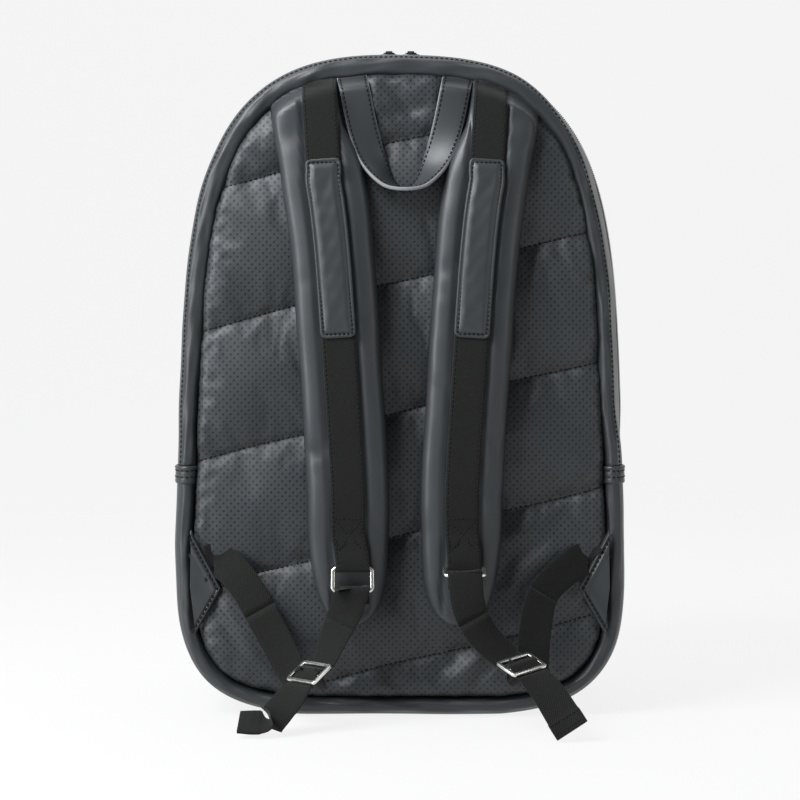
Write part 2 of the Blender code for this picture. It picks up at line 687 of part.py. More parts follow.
def adjuster_webbing(side, bar):
    """From a sewn loop on the ring's bottom bar down and through the glide."""
    across, up, out = glide_frame(side)
    centre = Vector(GLIDE_CENTRE[side])
    turn = WRAP_RADIUS + 0.0003
    way = [Vector(point) for point in ADJUSTER_WAY[side]]
    hang = Vector((0, way[0].y - bar.y, way[0].z - bar.z)).normalized()
    front = Vector((1, 0, 0)).cross(hang)
    path = [bar - front * turn + hang * 0.010]
    for degrees in (180, 135, 90, 45, 0):
        angle = math.radians(degrees)
        path.append(bar + front * turn * math.cos(angle) - hang * turn * math.sin(angle))
    path += [point + front * 0.0012 for point in way]
    level = (GLIDE_THICKNESS + WEBBING_THICKNESS) / 2 + GAP + 0.0002
    weave = ((0.0155, -1), (0.0105, -1), (0.0080, -0.95), (0.0047, 0), (0.0018, 0.95), (0, 1),
             (-0.0018, 0.95), (-0.0047, 0), (-0.0080, -0.95), (-0.0110, -1))
    path += [centre + up * v + out * level * n for v, n in weave]
    sides = [Vector((1, 0, 0))] * 6
    sides += [Vector((1, 0, 0)).lerp(across, 0.3), Vector((1, 0, 0)).lerp(across, 0.7)]
    sides += [across] * len(weave)
    return ribbon("adjuster_webbing_" + side, smooth(path, 2), smooth(sides, 2), WEBBING_WIDTH,
                  WEBBING_THICKNESS, TEXTILE)


def tail(side):
    """The free end of the adjuster webbing below the glide."""
    across, up, out = glide_frame(side)
    centre = Vector(GLIDE_CENTRE[side])
    level = (GLIDE_THICKNESS + WEBBING_THICKNESS) / 2 + GAP + 0.0002
    start = [centre - up * 0.0114 - out * level, centre - up * 0.0150 - out * level]
    path = smooth(start + [Vector(point) for point in TAIL_WAY[side]], 4)
    last = Vector(TAIL_ACROSS[side])
    sides = [across.lerp(last, index / (len(path) - 1)) for index in range(len(path))]
    return ribbon("webbing_tail_" + side, path, sides, WEBBING_WIDTH, WEBBING_THICKNESS, TEXTILE)


def anchor_webbing(side):
    """From the wing to the underside of the glide's middle bar."""
    across, up, out = glide_frame(side)
    if across.dot(Vector(ANCHOR_ACROSS[side][-1])) < 0:
        across = -across
    level = (GLIDE_THICKNESS + WEBBING_THICKNESS) / 2 + GAP + 0.0003
    under = [Vector(GLIDE_CENTRE[side]) - out * depth for depth in (0.0105, level)]
    sign = -1 if side == "left" else 1
    out_x, start_y, up_z = ANCHOR_START[side]
    start = Vector((sign * (WING[1][0] + out_x), start_y, WING[1][1] + up_z))
    path = smooth([start, *ANCHOR_WAY[side], *under], 4)
    sides = smooth(list(ANCHOR_ACROSS[side]) + [across, across], 4)
    return ribbon("anchor_webbing_" + side, path, sides, WEBBING_WIDTH, WEBBING_THICKNESS, TEXTILE)


def wing(side, sign):
    """Triangular leather tab at the lower side seam."""
    outline = [(sign * x, z) for x, z in WING]
    plate = upright_plate("wing_" + side, outline, 0, WING_THICKNESS, LEATHER, bevel=0.0008)
    plate.location.y = BACK_Y - PANEL_RECESS - GAP - WING_THICKNESS / 2
    return plate


def straps():
    for side, sign in (("left", -1), ("right", 1)):
        wing(side, sign)
        pieces = [pad(side, sign), pad_webbing(side, sign), patch(side, sign), anchor_webbing(side)]
        bar = ring(side, sign)
        pieces.append(adjuster_webbing(side, bar))
        x, y, z = STRAP_AXIS_TOP
        pivot("strap_axis_" + side, (strap_x(sign, x), y, z), pieces)
        slide = pivot("glide_slide_" + side, GLIDE_CENTRE[side], [tail(side)])
        frame = glide(side)
        world = frame.matrix_world.copy()
        frame.parent = slide
        frame.matrix_parent_inverse = Matrix.Translation(Vector(GLIDE_CENTRE[side])).inverted()
        frame.matrix_basis = world


def grab_handle():
    """Leather band between its two sewn ends; it turns edge-on at the bottom of the loop."""
    half = [(-reach, HANDLE_AXIS_Y - out, HANDLE_AXIS_Z - down) for reach, out, down, turn in HANDLE_STATIONS]
    other = [(-x, y, z) for x, y, z in reversed(half[:-1])]
    path = [Vector((STRAP_SHIFT + x, y, z)) for x, y, z in smooth(half + other, 3)]
    turns = [turn for reach, out, down, turn in HANDLE_STATIONS]
    turns = [v.x for v in smooth([(turn, 0, 0) for turn in turns + turns[-2::-1]], 3)]
    sides = []
    for index, turn in enumerate(turns):
        ahead = path[min(index + 1, len(path) - 1)] - path[max(index - 1, 0)]
        flat = ahead.cross(Vector((0, 1, 0))).normalized()
        angle = turn * math.pi / 2
        sides.append(flat * math.cos(angle) + Vector((0, 1, 0)) * math.sin(angle))
    body = ribbon("grab_handle", path, sides, HANDLE_WIDTH, HANDLE_THICKNESS, LEATHER)
    round_edges(body, 0.0008, 1)
    pivot("handle_axis", (STRAP_SHIFT, HANDLE_AXIS_Y, HANDLE_AXIS_Z), [body])


body_shells()
inner_face = back()
boot_front()
laptop_sleeve(inner_face)
main_zip()
front_pocket(front_flap())
main_sliders()
straps()
grab_handle()
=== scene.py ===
# %% [markdown]
# # Racket backpack, seen from the wearer's side
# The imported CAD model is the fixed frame: every piece below is made around it, in metres, with
# the wearer's side towards -Y. Soft pieces replace their CAD solids; nothing in the frame moves.

# %% Load the frame
import math

import bmesh
import bpy
import numpy as np
from mathutils import Matrix, Vector


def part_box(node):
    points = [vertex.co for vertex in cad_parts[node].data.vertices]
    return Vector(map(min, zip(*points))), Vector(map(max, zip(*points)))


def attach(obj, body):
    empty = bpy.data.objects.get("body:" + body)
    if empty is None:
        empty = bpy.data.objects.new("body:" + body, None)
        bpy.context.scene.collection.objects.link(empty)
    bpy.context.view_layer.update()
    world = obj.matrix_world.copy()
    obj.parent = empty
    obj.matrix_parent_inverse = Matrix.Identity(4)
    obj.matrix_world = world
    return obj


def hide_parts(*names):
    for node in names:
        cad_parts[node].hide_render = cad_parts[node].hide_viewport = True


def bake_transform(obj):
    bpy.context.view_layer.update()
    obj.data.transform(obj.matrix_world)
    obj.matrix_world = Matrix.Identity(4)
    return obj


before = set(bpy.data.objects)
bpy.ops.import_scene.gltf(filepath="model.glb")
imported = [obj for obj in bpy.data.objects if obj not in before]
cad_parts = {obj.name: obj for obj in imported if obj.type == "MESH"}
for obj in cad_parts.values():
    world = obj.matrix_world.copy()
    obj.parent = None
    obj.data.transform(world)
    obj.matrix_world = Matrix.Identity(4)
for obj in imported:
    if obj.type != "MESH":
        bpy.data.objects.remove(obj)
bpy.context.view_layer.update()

# %% [markdown]
# ## Camera, light and studio
# The bag is seen head-on through a long lens from about 1.6 m, so verticals stay straight. A
# large softbox high on the left gives the broad highlights that black leather needs, a weak one
# on the right keeps the far side readable, and the pale sweep behind reflects evenly. What lies
# beyond the sweep is plain and pale to look at but gives only a dim light, so that the softboxes
# shape the leather.

# %% Camera
VIEW_DISTANCE = 1.60
LENS_MM = 95.1
CAMERA_HEIGHT = 0.300
AIM = Vector((0.0, -0.08, 0.2396))


def placed(name, data):
    """A new object in the scene."""
    obj = bpy.data.objects.new(name, data)
    bpy.context.scene.collection.objects.link(obj)
    return obj


def look_at(obj, target):
    obj.rotation_mode = "QUATERNION"
    obj.rotation_quaternion = (Vector(target) - obj.location).to_track_quat("-Z", "Y")


camera = placed("camera", bpy.data.cameras.new("camera"))
camera.data.lens = LENS_MM
camera.location = (0.0, AIM.y - VIEW_DISTANCE, CAMERA_HEIGHT)
look_at(camera, AIM)
bpy.context.scene.camera = camera


# %% Colour and node helpers
def linear(hex_colour):
    """An sRGB hex colour as linear RGBA."""
    parts = [int(hex_colour[k:k + 2], 16) / 255 for k in (1, 3, 5)]
    return (*[p / 12.92 if p <= 0.04045 else ((p + 0.055) / 1.055) ** 2.4 for p in parts], 1.0)


def node(tree, kind, links=None, **settings):
    """Add a shader node, set its properties, then link or set its inputs."""
    made = tree.nodes.new(kind)
    for name, value in settings.items():
        setattr(made, name, value)
    for name, value in (links or {}).items():
        if isinstance(value, bpy.types.NodeSocket):
            tree.links.new(value, made.inputs[name])
        else:
            made.inputs[name].default_value = value
    return made


def new_material(name, **sockets):
    """A material with a Principled shader whose even values sit on its own sockets."""
    mat = bpy.data.materials.new(name)
    mat.use_nodes = True
    shader = mat.node_tree.nodes["Principled BSDF"]
    for key, value in sockets.items():
        shader.inputs[key.replace("_", " ")].default_value = value
    return mat, mat.node_tree, shader


def wire(tree, shader, **outputs):
    """Link outputs to the shader's inputs."""
    for key, output in outputs.items():
        tree.links.new(output, shader.inputs[key.replace("_", " ")])


def noise(tree, scale, detail, **more):
    """Noise over the object's own coordinates."""
    place = node(tree, "ShaderNodeTexCoord").outputs["Object"]
    links = {"Vector": place, "Scale": scale, "Detail": detail, **more}
    return node(tree, "ShaderNodeTexNoise", links).outputs["Fac"]


def blend_tones(tree, factor, dark, light):
    links = {"Factor": factor, "A": dark, "B": light}
    return node(tree, "ShaderNodeMix", links, data_type="RGBA").outputs["Result"]


def remap(tree, value, low, high, new_low=0.0, new_high=1.0):
    links = {"Value": value, "From Min": low, "From Max": high, "To Min": new_low, "To Max": new_high}
    return node(tree, "ShaderNodeMapRange", links).outputs["Result"]


def bumped(tree, height, strength, distance, **more):
    links = {"Height": height, "Strength": strength, "Distance": distance}
    links.update({"Normal": more.pop("normal")} if "normal" in more else {})
    return node(tree, "ShaderNodeBump", links, **more).outputs["Normal"]


# %% Studio
LIT_POINT = (0, -0.08, 0.26)
WORLD_AS_LIGHT, WORLD_AS_SEEN = 0.14, 1.0
SWEEP_HALF, SWEEP_BEND_Y, SWEEP_BEND_RADIUS, SWEEP_TOP = 4.0, 1.2, 0.8, 4.0


def softbox(name, place, size, power, tint="#FFFFFF"):
    light = bpy.data.lights.new(name, "AREA")
    light.shape = "RECTANGLE"
    light.size, light.size_y = size
    light.energy = power
    light.color = linear(tint)[:3]
    obj = placed(name, light)
    obj.location = place
    look_at(obj, LIT_POINT)


softbox("key_upper_left", (-0.85, -0.85, 1.35), (0.8, 0.8), 44, "#F8FBFF")
softbox("fill_right", (1.5, -1.0, 0.8), (0.6, 1.2), 6)
softbox("side_strip", (-1.35, -0.75, 0.55), (0.4, 1.2), 20)
softbox("top_strip", (0.0, 0.1, 1.5), (1.6, 0.5), 8)

world = bpy.data.worlds.new("studio")
world.use_nodes = True
background = world.node_tree.nodes["Background"]
background.inputs["Color"].default_value = linear("#F5F5F5")
seen = node(world.node_tree, "ShaderNodeLightPath")
wire(world.node_tree, background, Strength=remap(
    world.node_tree, seen.outputs["Is Camera Ray"], 0.0, 1.0, WORLD_AS_LIGHT, WORLD_AS_SEEN))
bpy.context.scene.world = world
bpy.context.scene.view_settings.view_transform = "Standard"


def sweep_backdrop():
    """A paper sweep: floor, a wide bend and a wall, in one sheet."""
    bend_y, radius = SWEEP_BEND_Y, SWEEP_BEND_RADIUS
    profile = [(-SWEEP_HALF, 0.0), (bend_y, 0.0)]
    profile += [(bend_y + radius * math.sin(a), radius - radius * math.cos(a))
                for a in np.linspace(0.1, 1.57, 14)]
    profile += [(bend_y + radius, SWEEP_TOP)]
    bm = bmesh.new()
    rows = [[bm.verts.new((x, y, z)) for y, z in profile] for x in (-SWEEP_HALF, SWEEP_HALF)]
    for k in range(len(profile) - 1):
        bm.faces.new((rows[0][k], rows[1][k], rows[1][k + 1], rows[0][k + 1]))
    mesh = bpy.data.meshes.new("paper_sweep")
    bm.to_mesh(mesh)
    bm.free()
    mesh.shade_smooth()
    paper = new_material("pale_paper", Roughness=0.95, Base_Color=linear("#4A4A4A"),
                         Specular_IOR_Level=0.1, Emission_Color=linear("#FFFFFF"),
                         Emission_Strength=0.84)[0]
    mesh.materials.append(paper)
    placed("paper_sweep", mesh)


sweep_backdrop()
print("camera at", tuple(round(v, 3) for v in camera.location))

# %% [markdown]
# ## Coated leather
# The bag is sewn from polyurethane-coated split leather, embossed with a fine pebble grain and
# finished semi-matt black. The eye sees a dark blue-grey with wide soft highlights, a slightly
# uneven finish, and a grain of about 0.8 mm, drawn here at 1.1 mm so that it can show at all.
# The back panel is the same leather punched with 1 mm holes in a staggered 5.5 mm pattern.

# %% Leather materials
GRAIN_MM = 1.1
HOLE_PITCH_MM = (5.5, 5.6)
HOLE_RADIUS_MM, HOLE_EDGE_MM = 0.68, 0.18


def leather(name, colour, dark, roughness=0.46, holes=False, grain=0.10):
    mat, tree, shader = new_material(name, IOR=1.5, Specular_IOR_Level=0.40)
    place = node(tree, "ShaderNodeTexCoord")
    cells = node(tree, "ShaderNodeTexVoronoi", {"Vector": place.outputs["Object"],
                 "Scale": 1000 / GRAIN_MM}, feature="DISTANCE_TO_EDGE")
    cloud = noise(tree, 22.0, 4.0, Roughness=0.6)
    tone = blend_tones(tree, cloud, linear(dark), linear(colour))
    shine = remap(tree, cloud, 0.3, 0.7, roughness + 0.05, roughness - 0.05)
    height = node(tree, "ShaderNodeMath", {0: cells.outputs["Distance"], 1: noise(tree, 1400.0, 2.0)},
                  operation="ADD")
    normal = bumped(tree, height.outputs[0], grain, 0.0004)
    if holes:
        mask = hole_mask(tree)
        # Each punched hole is painted near-black: painted shade standing for the depth of the hole, which
        # the mesh does not have.
        tone = blend_tones(tree, mask, tone, linear("#020303"))
        normal = bumped(tree, mask, 0.7, 0.0006, normal=normal, invert=True)
    wire(tree, shader, Base_Color=tone, Roughness=shine, Normal=normal)
    return mat


def hole_mask(tree):
    """1 inside a punched hole: two rectangular lattices, the second shifted by half a pitch."""
    flat = node(tree, "ShaderNodeUVMap", uv_map="metres").outputs["UV"]
    across, along = HOLE_PITCH_MM

    def vector(operation, *values):
        return node(tree, "ShaderNodeVectorMath", dict(enumerate(values)), operation=operation)

    found = []
    for shift in (0.0, 0.5):
        cell = vector("MULTIPLY_ADD", flat, (1000 / across, 1000 / along, 0), (shift, shift, 0))
        part = vector("FRACTION", cell.outputs[0])
        centre = vector("SUBTRACT", part.outputs[0], (0.5, 0.5, 0))
        real = vector("MULTIPLY", centre.outputs[0], (across, along, 0))
        found.append(vector("LENGTH", real.outputs[0]).outputs["Value"])
    nearest = node(tree, "ShaderNodeMath", dict(enumerate(found)), operation="MINIMUM")
    return remap(tree, nearest.outputs[0], HOLE_RADIUS_MM, HOLE_RADIUS_MM + HOLE_EDGE_MM, 1.0, 0.0)


LEATHER = leather("coated_leather_smooth", "#2D3133", "#1F2326", 0.44)
PERFORATED = leather("coated_leather_perforated", "#2E3235", "#1C2023", 0.50, holes=True, grain=0.16)
CUT_EDGE = leather("leather_cut_edge_sealed", "#75787A", "#5B5E60", 0.60)

# %% [markdown]
# ## Woven and sewn materials
# The webbing is 25 mm polypropylene twill: ribs of about 1 mm run slantwise, matt with a faint
# sheen. Zip tape is a finer polyester herringbone, the lining a plain taffeta, and the sewing
# thread a bonded polyester that is a little shinier than the leather it sinks into.


# %% Woven materials
def woven(name, colour, dark, rib_mm, slant, roughness=0.85, sheen=0.06, depth=0.6):
    """Cloth with slanting ribs, from UVs in metres."""
    mat, tree, shader = new_material(name, Roughness=roughness, Sheen_Weight=sheen,
                                     Sheen_Roughness=0.5, IOR=1.45, Specular_IOR_Level=0.12)
    flat = node(tree, "ShaderNodeUVMap", uv_map="metres")
    wave = 2 * math.pi * 1000 / rib_mm
    ribs = node(tree, "ShaderNodeVectorMath", {0: flat.outputs["UV"], 1: (wave, wave * slant, 0)},
                operation="DOT_PRODUCT")
    picks = node(tree, "ShaderNodeVectorMath", {0: flat.outputs["UV"], 1: (-wave * 0.4, wave, 0)},
                 operation="DOT_PRODUCT")
    rib = node(tree, "ShaderNodeMath", {0: ribs.outputs["Value"]}, operation="SINE")
    pick = node(tree, "ShaderNodeMath", {0: picks.outputs["Value"]}, operation="SINE")
    weave = node(tree, "ShaderNodeMath", {0: pick.outputs[0], 1: 0.45, 2: rib.outputs[0]},
                 operation="MULTIPLY_ADD")
    spread = remap(tree, weave.outputs[0], -1.45, 1.45)
    mixed = node(tree, "ShaderNodeMath", {0: spread, 1: noise(tree, 900.0, 3.0)}, operation="MULTIPLY")
    # The weave is darker in its hollows, where the bump is low: painted shade, with a random tone from the
    # noise on top.
    tone = blend_tones(tree, mixed.outputs[0], linear(dark), linear(colour))
    wire(tree, shader, Base_Color=tone, Normal=bumped(tree, spread, depth, 0.0003))
    return mat


def speckled(name, colour, dark, scale_mm, roughness, bump_mm=0.05, **sockets):
    """An even finish with a fine unevenness of a real size."""
    mat, tree, shader = new_material(name, **sockets)
    cloud = noise(tree, 1000 / scale_mm, 4.0, Roughness=0.6)
    tone = blend_tones(tree, cloud, linear(dark), linear(colour))
    shine = remap(tree, cloud, 0.3, 0.7, roughness * 0.8, roughness * 1.2)
    wire(tree, shader, Base_Color=tone, Roughness=shine,
         Normal=bumped(tree, cloud, 0.3, bump_mm / 1000))
    return mat


WEBBING = woven("polypropylene_webbing_twill", "#2A2C29", "#0A0B0A", 1.7, 0.8)
ZIP_TAPE = woven("polyester_zip_tape_woven", "#2E3031", "#161718", 1.0, 1.2, depth=0.35)
LINING = woven("polyester_lining_taffeta", "#55585B", "#3A3D40", 1.2, 0.0, 0.6, 0.1, 0.2)
THREAD = speckled("bonded_polyester_thread", "#0B0C0C", "#050505", 0.8, 0.55, Specular_IOR_Level=0.2)
COIL = speckled("nylon_zip_coil_moulded", "#232425", "#171819", 4.0, 0.34, IOR=1.53)
BOARD = speckled("polyethylene_board_pressed", "#2B2C2D", "#1D1E1F", 3.0, 0.55, 0.2)

# %% [markdown]
# ## Metals
# The rings and glides are steel wire and die-cast zinc with a satin nickel plate: bright, a
# little warm, with a soft rather than a mirror highlight. The zip sliders carry a black nickel
# plate. Metals keep the shader's default IOR; only roughness and colour are matched.

# %% Metal materials
NICKEL = speckled("nickel_plate_satin", "#E4E3DF", "#D2D1CD", 8.0, 0.30, 0.002, Metallic=1.0)
BLACK_NICKEL = speckled("black_nickel_plate_polished", "#4A4B4D", "#3A3B3D", 8.0, 0.26, 0.002,
                        Metallic=1.0)
print("materials:", len(bpy.data.materials))

# %% [markdown]
# ## Mesh helpers
# Almost everything on a bag is a strip carried along a line, so one function turns rows of
# points into a quad mesh with UVs in metres, and another lays a cross-section along a path.
# Weaves and perforations then come out at their real size on every piece.


# %% Surfaces
def finish_mesh(obj, material, body, replaces=()):
    obj.data.materials.append(material)
    sides = np.array([len(face.vertices) for face in obj.data.polygons])
    obj.data.polygons.foreach_set("use_smooth", sides <= 4)
    if body:
        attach(obj, body)
    if replaces:
        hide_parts(*replaces)
    return obj


def surface(name, rows, wrap=False, caps=False, uv=None):
    """A quad mesh through equal rows of points. wrap joins each row's end to its start."""
    rows = np.asarray(rows, float)
    count, width = rows.shape[:2]
    if uv is None:
        along = np.r_[0, np.cumsum(np.linalg.norm(np.diff(rows.mean(axis=1), axis=0), axis=1))]
        loop = np.concatenate([rows, rows[:, :1]], axis=1) if wrap else rows
        steps = np.linalg.norm(np.diff(loop, axis=1), axis=2)
        across = np.concatenate([np.zeros((count, 1)), np.cumsum(steps, axis=1)], axis=1)
        uv = np.stack([across, np.repeat(along[:, None], across.shape[1], axis=1)], axis=2)
    i, j = np.meshgrid(np.arange(count - 1), np.arange(width if wrap else width - 1), indexing="ij")
    k = (j + 1) % width
    quads = np.stack([i * width + j, (i + 1) * width + j, (i + 1) * width + k, i * width + k], axis=2)
    corner = np.stack([uv[i, j], uv[i + 1, j], uv[i + 1, j + 1], uv[i, j + 1]], axis=2).reshape(-1, 2)
    faces = quads.reshape(-1, 4).tolist()
    if caps:
        faces += [list(range(width))[::-1], [(count - 1) * width + n for n in range(width)]]
        corner = np.concatenate([corner, np.zeros((2 * width, 2))])
    mesh = bpy.data.meshes.new(name)
    mesh.from_pydata(rows.reshape(-1, 3).tolist(), [], faces)
    layer = mesh.uv_layers.new(name="metres")
    layer.data.foreach_set("uv", corner.astype(np.float32).ravel())
    if wrap:
        face_outwards(mesh)
    return placed(name, mesh)


def face_outwards(mesh, merge=0.0):
    """Turn the faces outwards, after joining points closer than merge."""
    bm = bmesh.new()
    bm.from_mesh(mesh)
    if merge:
        bmesh.ops.remove_doubles(bm, verts=bm.verts, dist=merge)
    bmesh.ops.recalc_face_normals(bm, faces=bm.faces)
    bm.to_mesh(mesh)
    bm.free()


def thickened(obj, thickness):
    """Give a sheet its thickness inwards, and keep only the final mesh."""
    mod = obj.modifiers.new("thickness", "SOLIDIFY")
    mod.thickness, mod.offset = thickness, -1.0
    graph = bpy.context.evaluated_depsgraph_get()
    mesh = bpy.data.meshes.new_from_object(obj.evaluated_get(graph), preserve_all_data_layers=True,
                                           depsgraph=graph)
    obj.modifiers.clear()
    obj.data = mesh
    return obj


def leather_sheet(name, rows, thickness, body, replaced, uv=None):
    """A sheet of leather with a thickness, leather on both faces."""
    piece = thickened(surface(name, rows, uv=uv), thickness)
    return finish_mesh(piece, LEATHER, body, [replaced])


def on_plane(flat, y):
    """Flat (x, z) points at a depth y, which may differ from point to point."""
    return np.stack([flat[..., 0], np.broadcast_to(y, flat.shape[:-1]), flat[..., 1]], axis=-1)


def same(direction, line):
    """One direction, repeated for every point of a line."""
    return np.tile(direction, (len(line), 1))


# %% Paths
def smooth(points, steps):
    """Points on a Catmull-Rom curve through the given ones."""
    points = np.asarray(points, float)
    ends = np.vstack([2 * points[0] - points[1], points, 2 * points[-1] - points[-2]])
    out = []
    for p0, p1, p2, p3 in zip(ends, ends[1:], ends[2:], ends[3:]):
        for t in np.arange(steps) / steps:
            out.append(0.5 * (2 * p1 + (p2 - p0) * t + (2 * p0 - 5 * p1 + 4 * p2 - p3) * t * t
                              + (3 * p1 - p0 - 3 * p2 + p3) * t ** 3))
    out.append(points[-1])
    return np.array(out)


def lengths(points):
    return np.r_[0, np.cumsum(np.linalg.norm(np.diff(points, axis=0), axis=1))]


def spaced(points, spacing, *others):
    """The line again with even spacing; other values on it are carried along."""
    at = lengths(points)
    new = np.linspace(0, at[-1], max(2, int(round(at[-1] / spacing)) + 1))
    result = [np.stack([np.interp(new, at, column) for column in np.asarray(line).T], axis=1)
              for line in (points, *others)]
    return result if others else result[0]


def unit(v):
    return v / np.maximum(np.linalg.norm(v, axis=-1, keepdims=True), 1e-12)


def frames(path, across):
    """Along, across and out directions at each point; out = along x across."""
    along = unit(np.gradient(path, axis=0))
    out = unit(np.cross(along, across))
    return along, unit(np.cross(out, along)), out


def lay(path, across, section):
    """Rows of points: section(index) gives (across, out) offsets at each path point."""
    _, side, out = frames(path, across)
    rows = []
    for k in range(len(path)):
        shape = np.asarray(section(k), float)
        rows.append(path[k] + shape[:, :1] * side[k] + shape[:, 1:] * out[k])
    return np.array(rows)


def strap_section(width, thickness):
    """A flat strap's section, its edges rounded: a loop of (across, out)."""
    half, edge = width / 2, thickness / 2
    top = [(a, edge) for a in np.linspace(-half + edge, half - edge, 7)]
    side = [(half - edge * 0.3, edge * 0.7), (half, 0.0), (half - edge * 0.3, -edge * 0.7)]
    return top + side + [(-a, -o) for a, o in top] + [(-a, -o) for a, o in side]


def strip(name, path, across, size, material, body, replaced=()):
    """A flat strip of even width and thickness along a path."""
    rows = lay(path, same(across, path), lambda k: strap_section(*size))
    return finish_mesh(surface(name, rows, wrap=True, caps=True), material, body, replaced)


def ripple(a, b, size, seed):
    """Smooth seeded noise of about one, from waves in many directions, features of a size."""
    rng, waves = np.random.default_rng(seed), 7
    total = np.zeros(np.broadcast(a, b).shape)
    for turn, phase, scale in zip(rng.uniform(0, math.pi, waves), rng.uniform(0, 6.28, waves),
                                  rng.uniform(0.6, 1.7, waves)):
        k = 2 * math.pi / (size * scale * 2)
        total = total + np.sin(k * (a * math.cos(turn) + b * math.sin(turn)) + phase)
    return total / math.sqrt(waves)


# %% Stitches
STITCH_PITCH = 0.0038
STITCH_LENGTH = 0.0029
STITCH_RADIUS = 0.00052
# one stitch: place along it, thickness and lift, as shares of its length and radius
SPINDLE = ((-0.5, 0.35, -0.7), (-0.28, 1.0, 0.45), (0.28, 1.0, 0.45), (0.5, 0.35, -0.7))


def square_to(along, outs):
    return unit(outs - along * (outs * along).sum(axis=1, keepdims=True))


def stitches(name, points, outs, body, pitch=STITCH_PITCH, radius=STITCH_RADIUS):
    """A row of lockstitches: each is a small spindle whose ends sink into the surface."""
    points, outs = spaced(np.asarray(points, float), pitch, np.asarray(outs, float))
    along = unit(np.gradient(points, axis=0))
    outs = square_to(along, outs)
    side = np.cross(along, outs)
    turn = np.arange(6) * math.pi / 3
    share = STITCH_LENGTH / STITCH_PITCH * pitch
    verts, faces = [], []
    for p, a, o, s in zip(points, along, outs, side):
        base = len(verts)
        for step, size, lift in SPINDLE:
            centre = p + a * step * share + o * radius * lift
            for t in turn:
                verts.append(centre + (s * math.cos(t) + o * math.sin(t)) * radius * size)
        for ring in range(3):
            for k in range(6):
                n = (k + 1) % 6
                low = base + ring * 6
                faces.append((low + k, low + 6 + k, low + 6 + n, low + n))
        faces.append([base + k for k in range(6)])
        faces.append([base + 18 + k for k in range(5, -1, -1)])
    mesh = bpy.data.meshes.new(name)
    mesh.from_pydata(verts, [], faces)
    mesh.uv_layers.new(name="metres")
    return finish_mesh(placed(name, mesh), THREAD, body)


# %% [markdown]
# ## The bag's outline
# The side view is a flat-bottomed arch. The same formula as in the CAD model gives it here, with
# more points, so that the leather lies exactly where the frame has it.

# %% Outline
SEAM_Z, ARCH_RISE, SIDE_HALF, TOP_TAPER = 0.190, 0.310, 0.169, 0.010
BOOT_HALF, BOOT_CURVE_Z = 0.171, 0.130
BACK_Y, FRONT_Y = -0.0925, 0.0905
GAP = 0.0003
RIM_INSET = 0.0145
PANEL_INSET = RIM_INSET + 0.0009
OUTLINE_STEP = 0.0035


def arch_line(count):
    """Upper body as (x, z), from the right side over the top to the left side."""
    angle = math.pi / 2 * (np.arange(count + 1) / count) ** 1.6
    rise = np.sin(angle) ** 0.476
    reach = np.maximum(np.cos(angle), 0) ** 0.714
    half = np.stack([(SIDE_HALF - TOP_TAPER * rise) * reach, SEAM_Z + ARCH_RISE * rise], axis=1)
    half[-1, 0] = 0.0
    return np.vstack([half, half[-2::-1] * (-1, 1)])


def boot_line(count):
    """Boot as (x, z), from the left side at the seam under the base to the right side."""
    straight = np.linspace((SIDE_HALF, SEAM_Z), (BOOT_HALF, BOOT_CURVE_Z), 12)[:-1]
    angle = math.pi / 2 * np.arange(count) / count
    drop = np.minimum(1.0, 1.0115 * np.sin(angle) ** 0.571)
    bend = np.stack([BOOT_HALF * np.cos(angle) ** 0.5, BOOT_CURVE_Z * (1 - drop)], axis=1)
    half = np.vstack([straight, bend])
    return np.vstack([half * (-1, 1), half[::-1]])


ARCH = spaced(arch_line(90), OUTLINE_STEP)
BOOT = spaced(boot_line(60), OUTLINE_STEP)


def inset(line, distance):
    """The line moved inwards. It runs anticlockwise seen from the wearer's side."""
    along = unit(np.gradient(line, axis=0))
    return line + np.stack([-along[:, 1], along[:, 0]], axis=1) * np.reshape(distance, (-1, 1))


def swept(line, profile, wobble=None):
    """Rows of points: the profile's (inset, y) carried along a line; wobble adds to the inset."""
    rows = []
    for depth, y in profile:
        extra = wobble(line, depth, y) if wobble else 0.0
        rows.append(on_plane(inset(line, depth + extra + np.zeros(len(line))), y))
    return np.stack(rows, axis=1)


print("outline:", len(ARCH), "+", len(BOOT), "points")

# %% [markdown]
# ## Gusset and rolled rims
# The gusset is the strip of leather round the side. On the real bag its edges are turned over a
# foam core before they are sewn to the panels, which gives the soft roll beside each panel and
# the deep groove next to it. A dense profile through the CAD rim is carried round the outline,
# with a few tenths of a millimetre of waviness, because leather never lies dead straight. On the
# right the side wall leans out towards the zip, so that its coil shows past the rim.

# %% Gusset
RIM_PROFILE = [(0.0, 0.0175), (0.0003, 0.0125), (0.0019, 0.0062), (0.0031, 0.0040), (0.0044, 0.0018),
               (0.0068, 0.0), (0.0097, -0.0002), (0.0124, 0.0018), (0.0142, 0.0056), (0.0146, 0.0095)]
ZIP_Y = -0.030
TAPE_WIDTH, TAPE_THICKNESS = 0.0085, 0.0008
ZIP_LEAN = 0.0021
RIM_LEAN = 0.0034
RIM_OVERLAP = 0.0032
GUSSET_THICKNESS = 0.0016


def rim_profile(crest_y, towards):
    return smooth([(i, crest_y - towards * d) for i, d in RIM_PROFILE], 3)


def ease(x, low, high):
    t = np.clip((np.asarray(x, float) - low) / (high - low), 0, 1)
    return t * t * (3 - 2 * t)


def lean(line, y):
    """Extra inset on the right, where the side wall leans out to the zip."""
    x, z = line[:, 0], line[:, 1]
    right = ease(x, 0.085, 0.15) * ease(z, 0.19, 0.24)
    at_rim = ease(-y, 0.050, 0.078)
    at_zip = ease(-y, -0.010, 0.020) * (1 - ease(-y, 0.042, 0.070))
    return right * (RIM_LEAN * at_rim - ZIP_LEAN * at_zip)


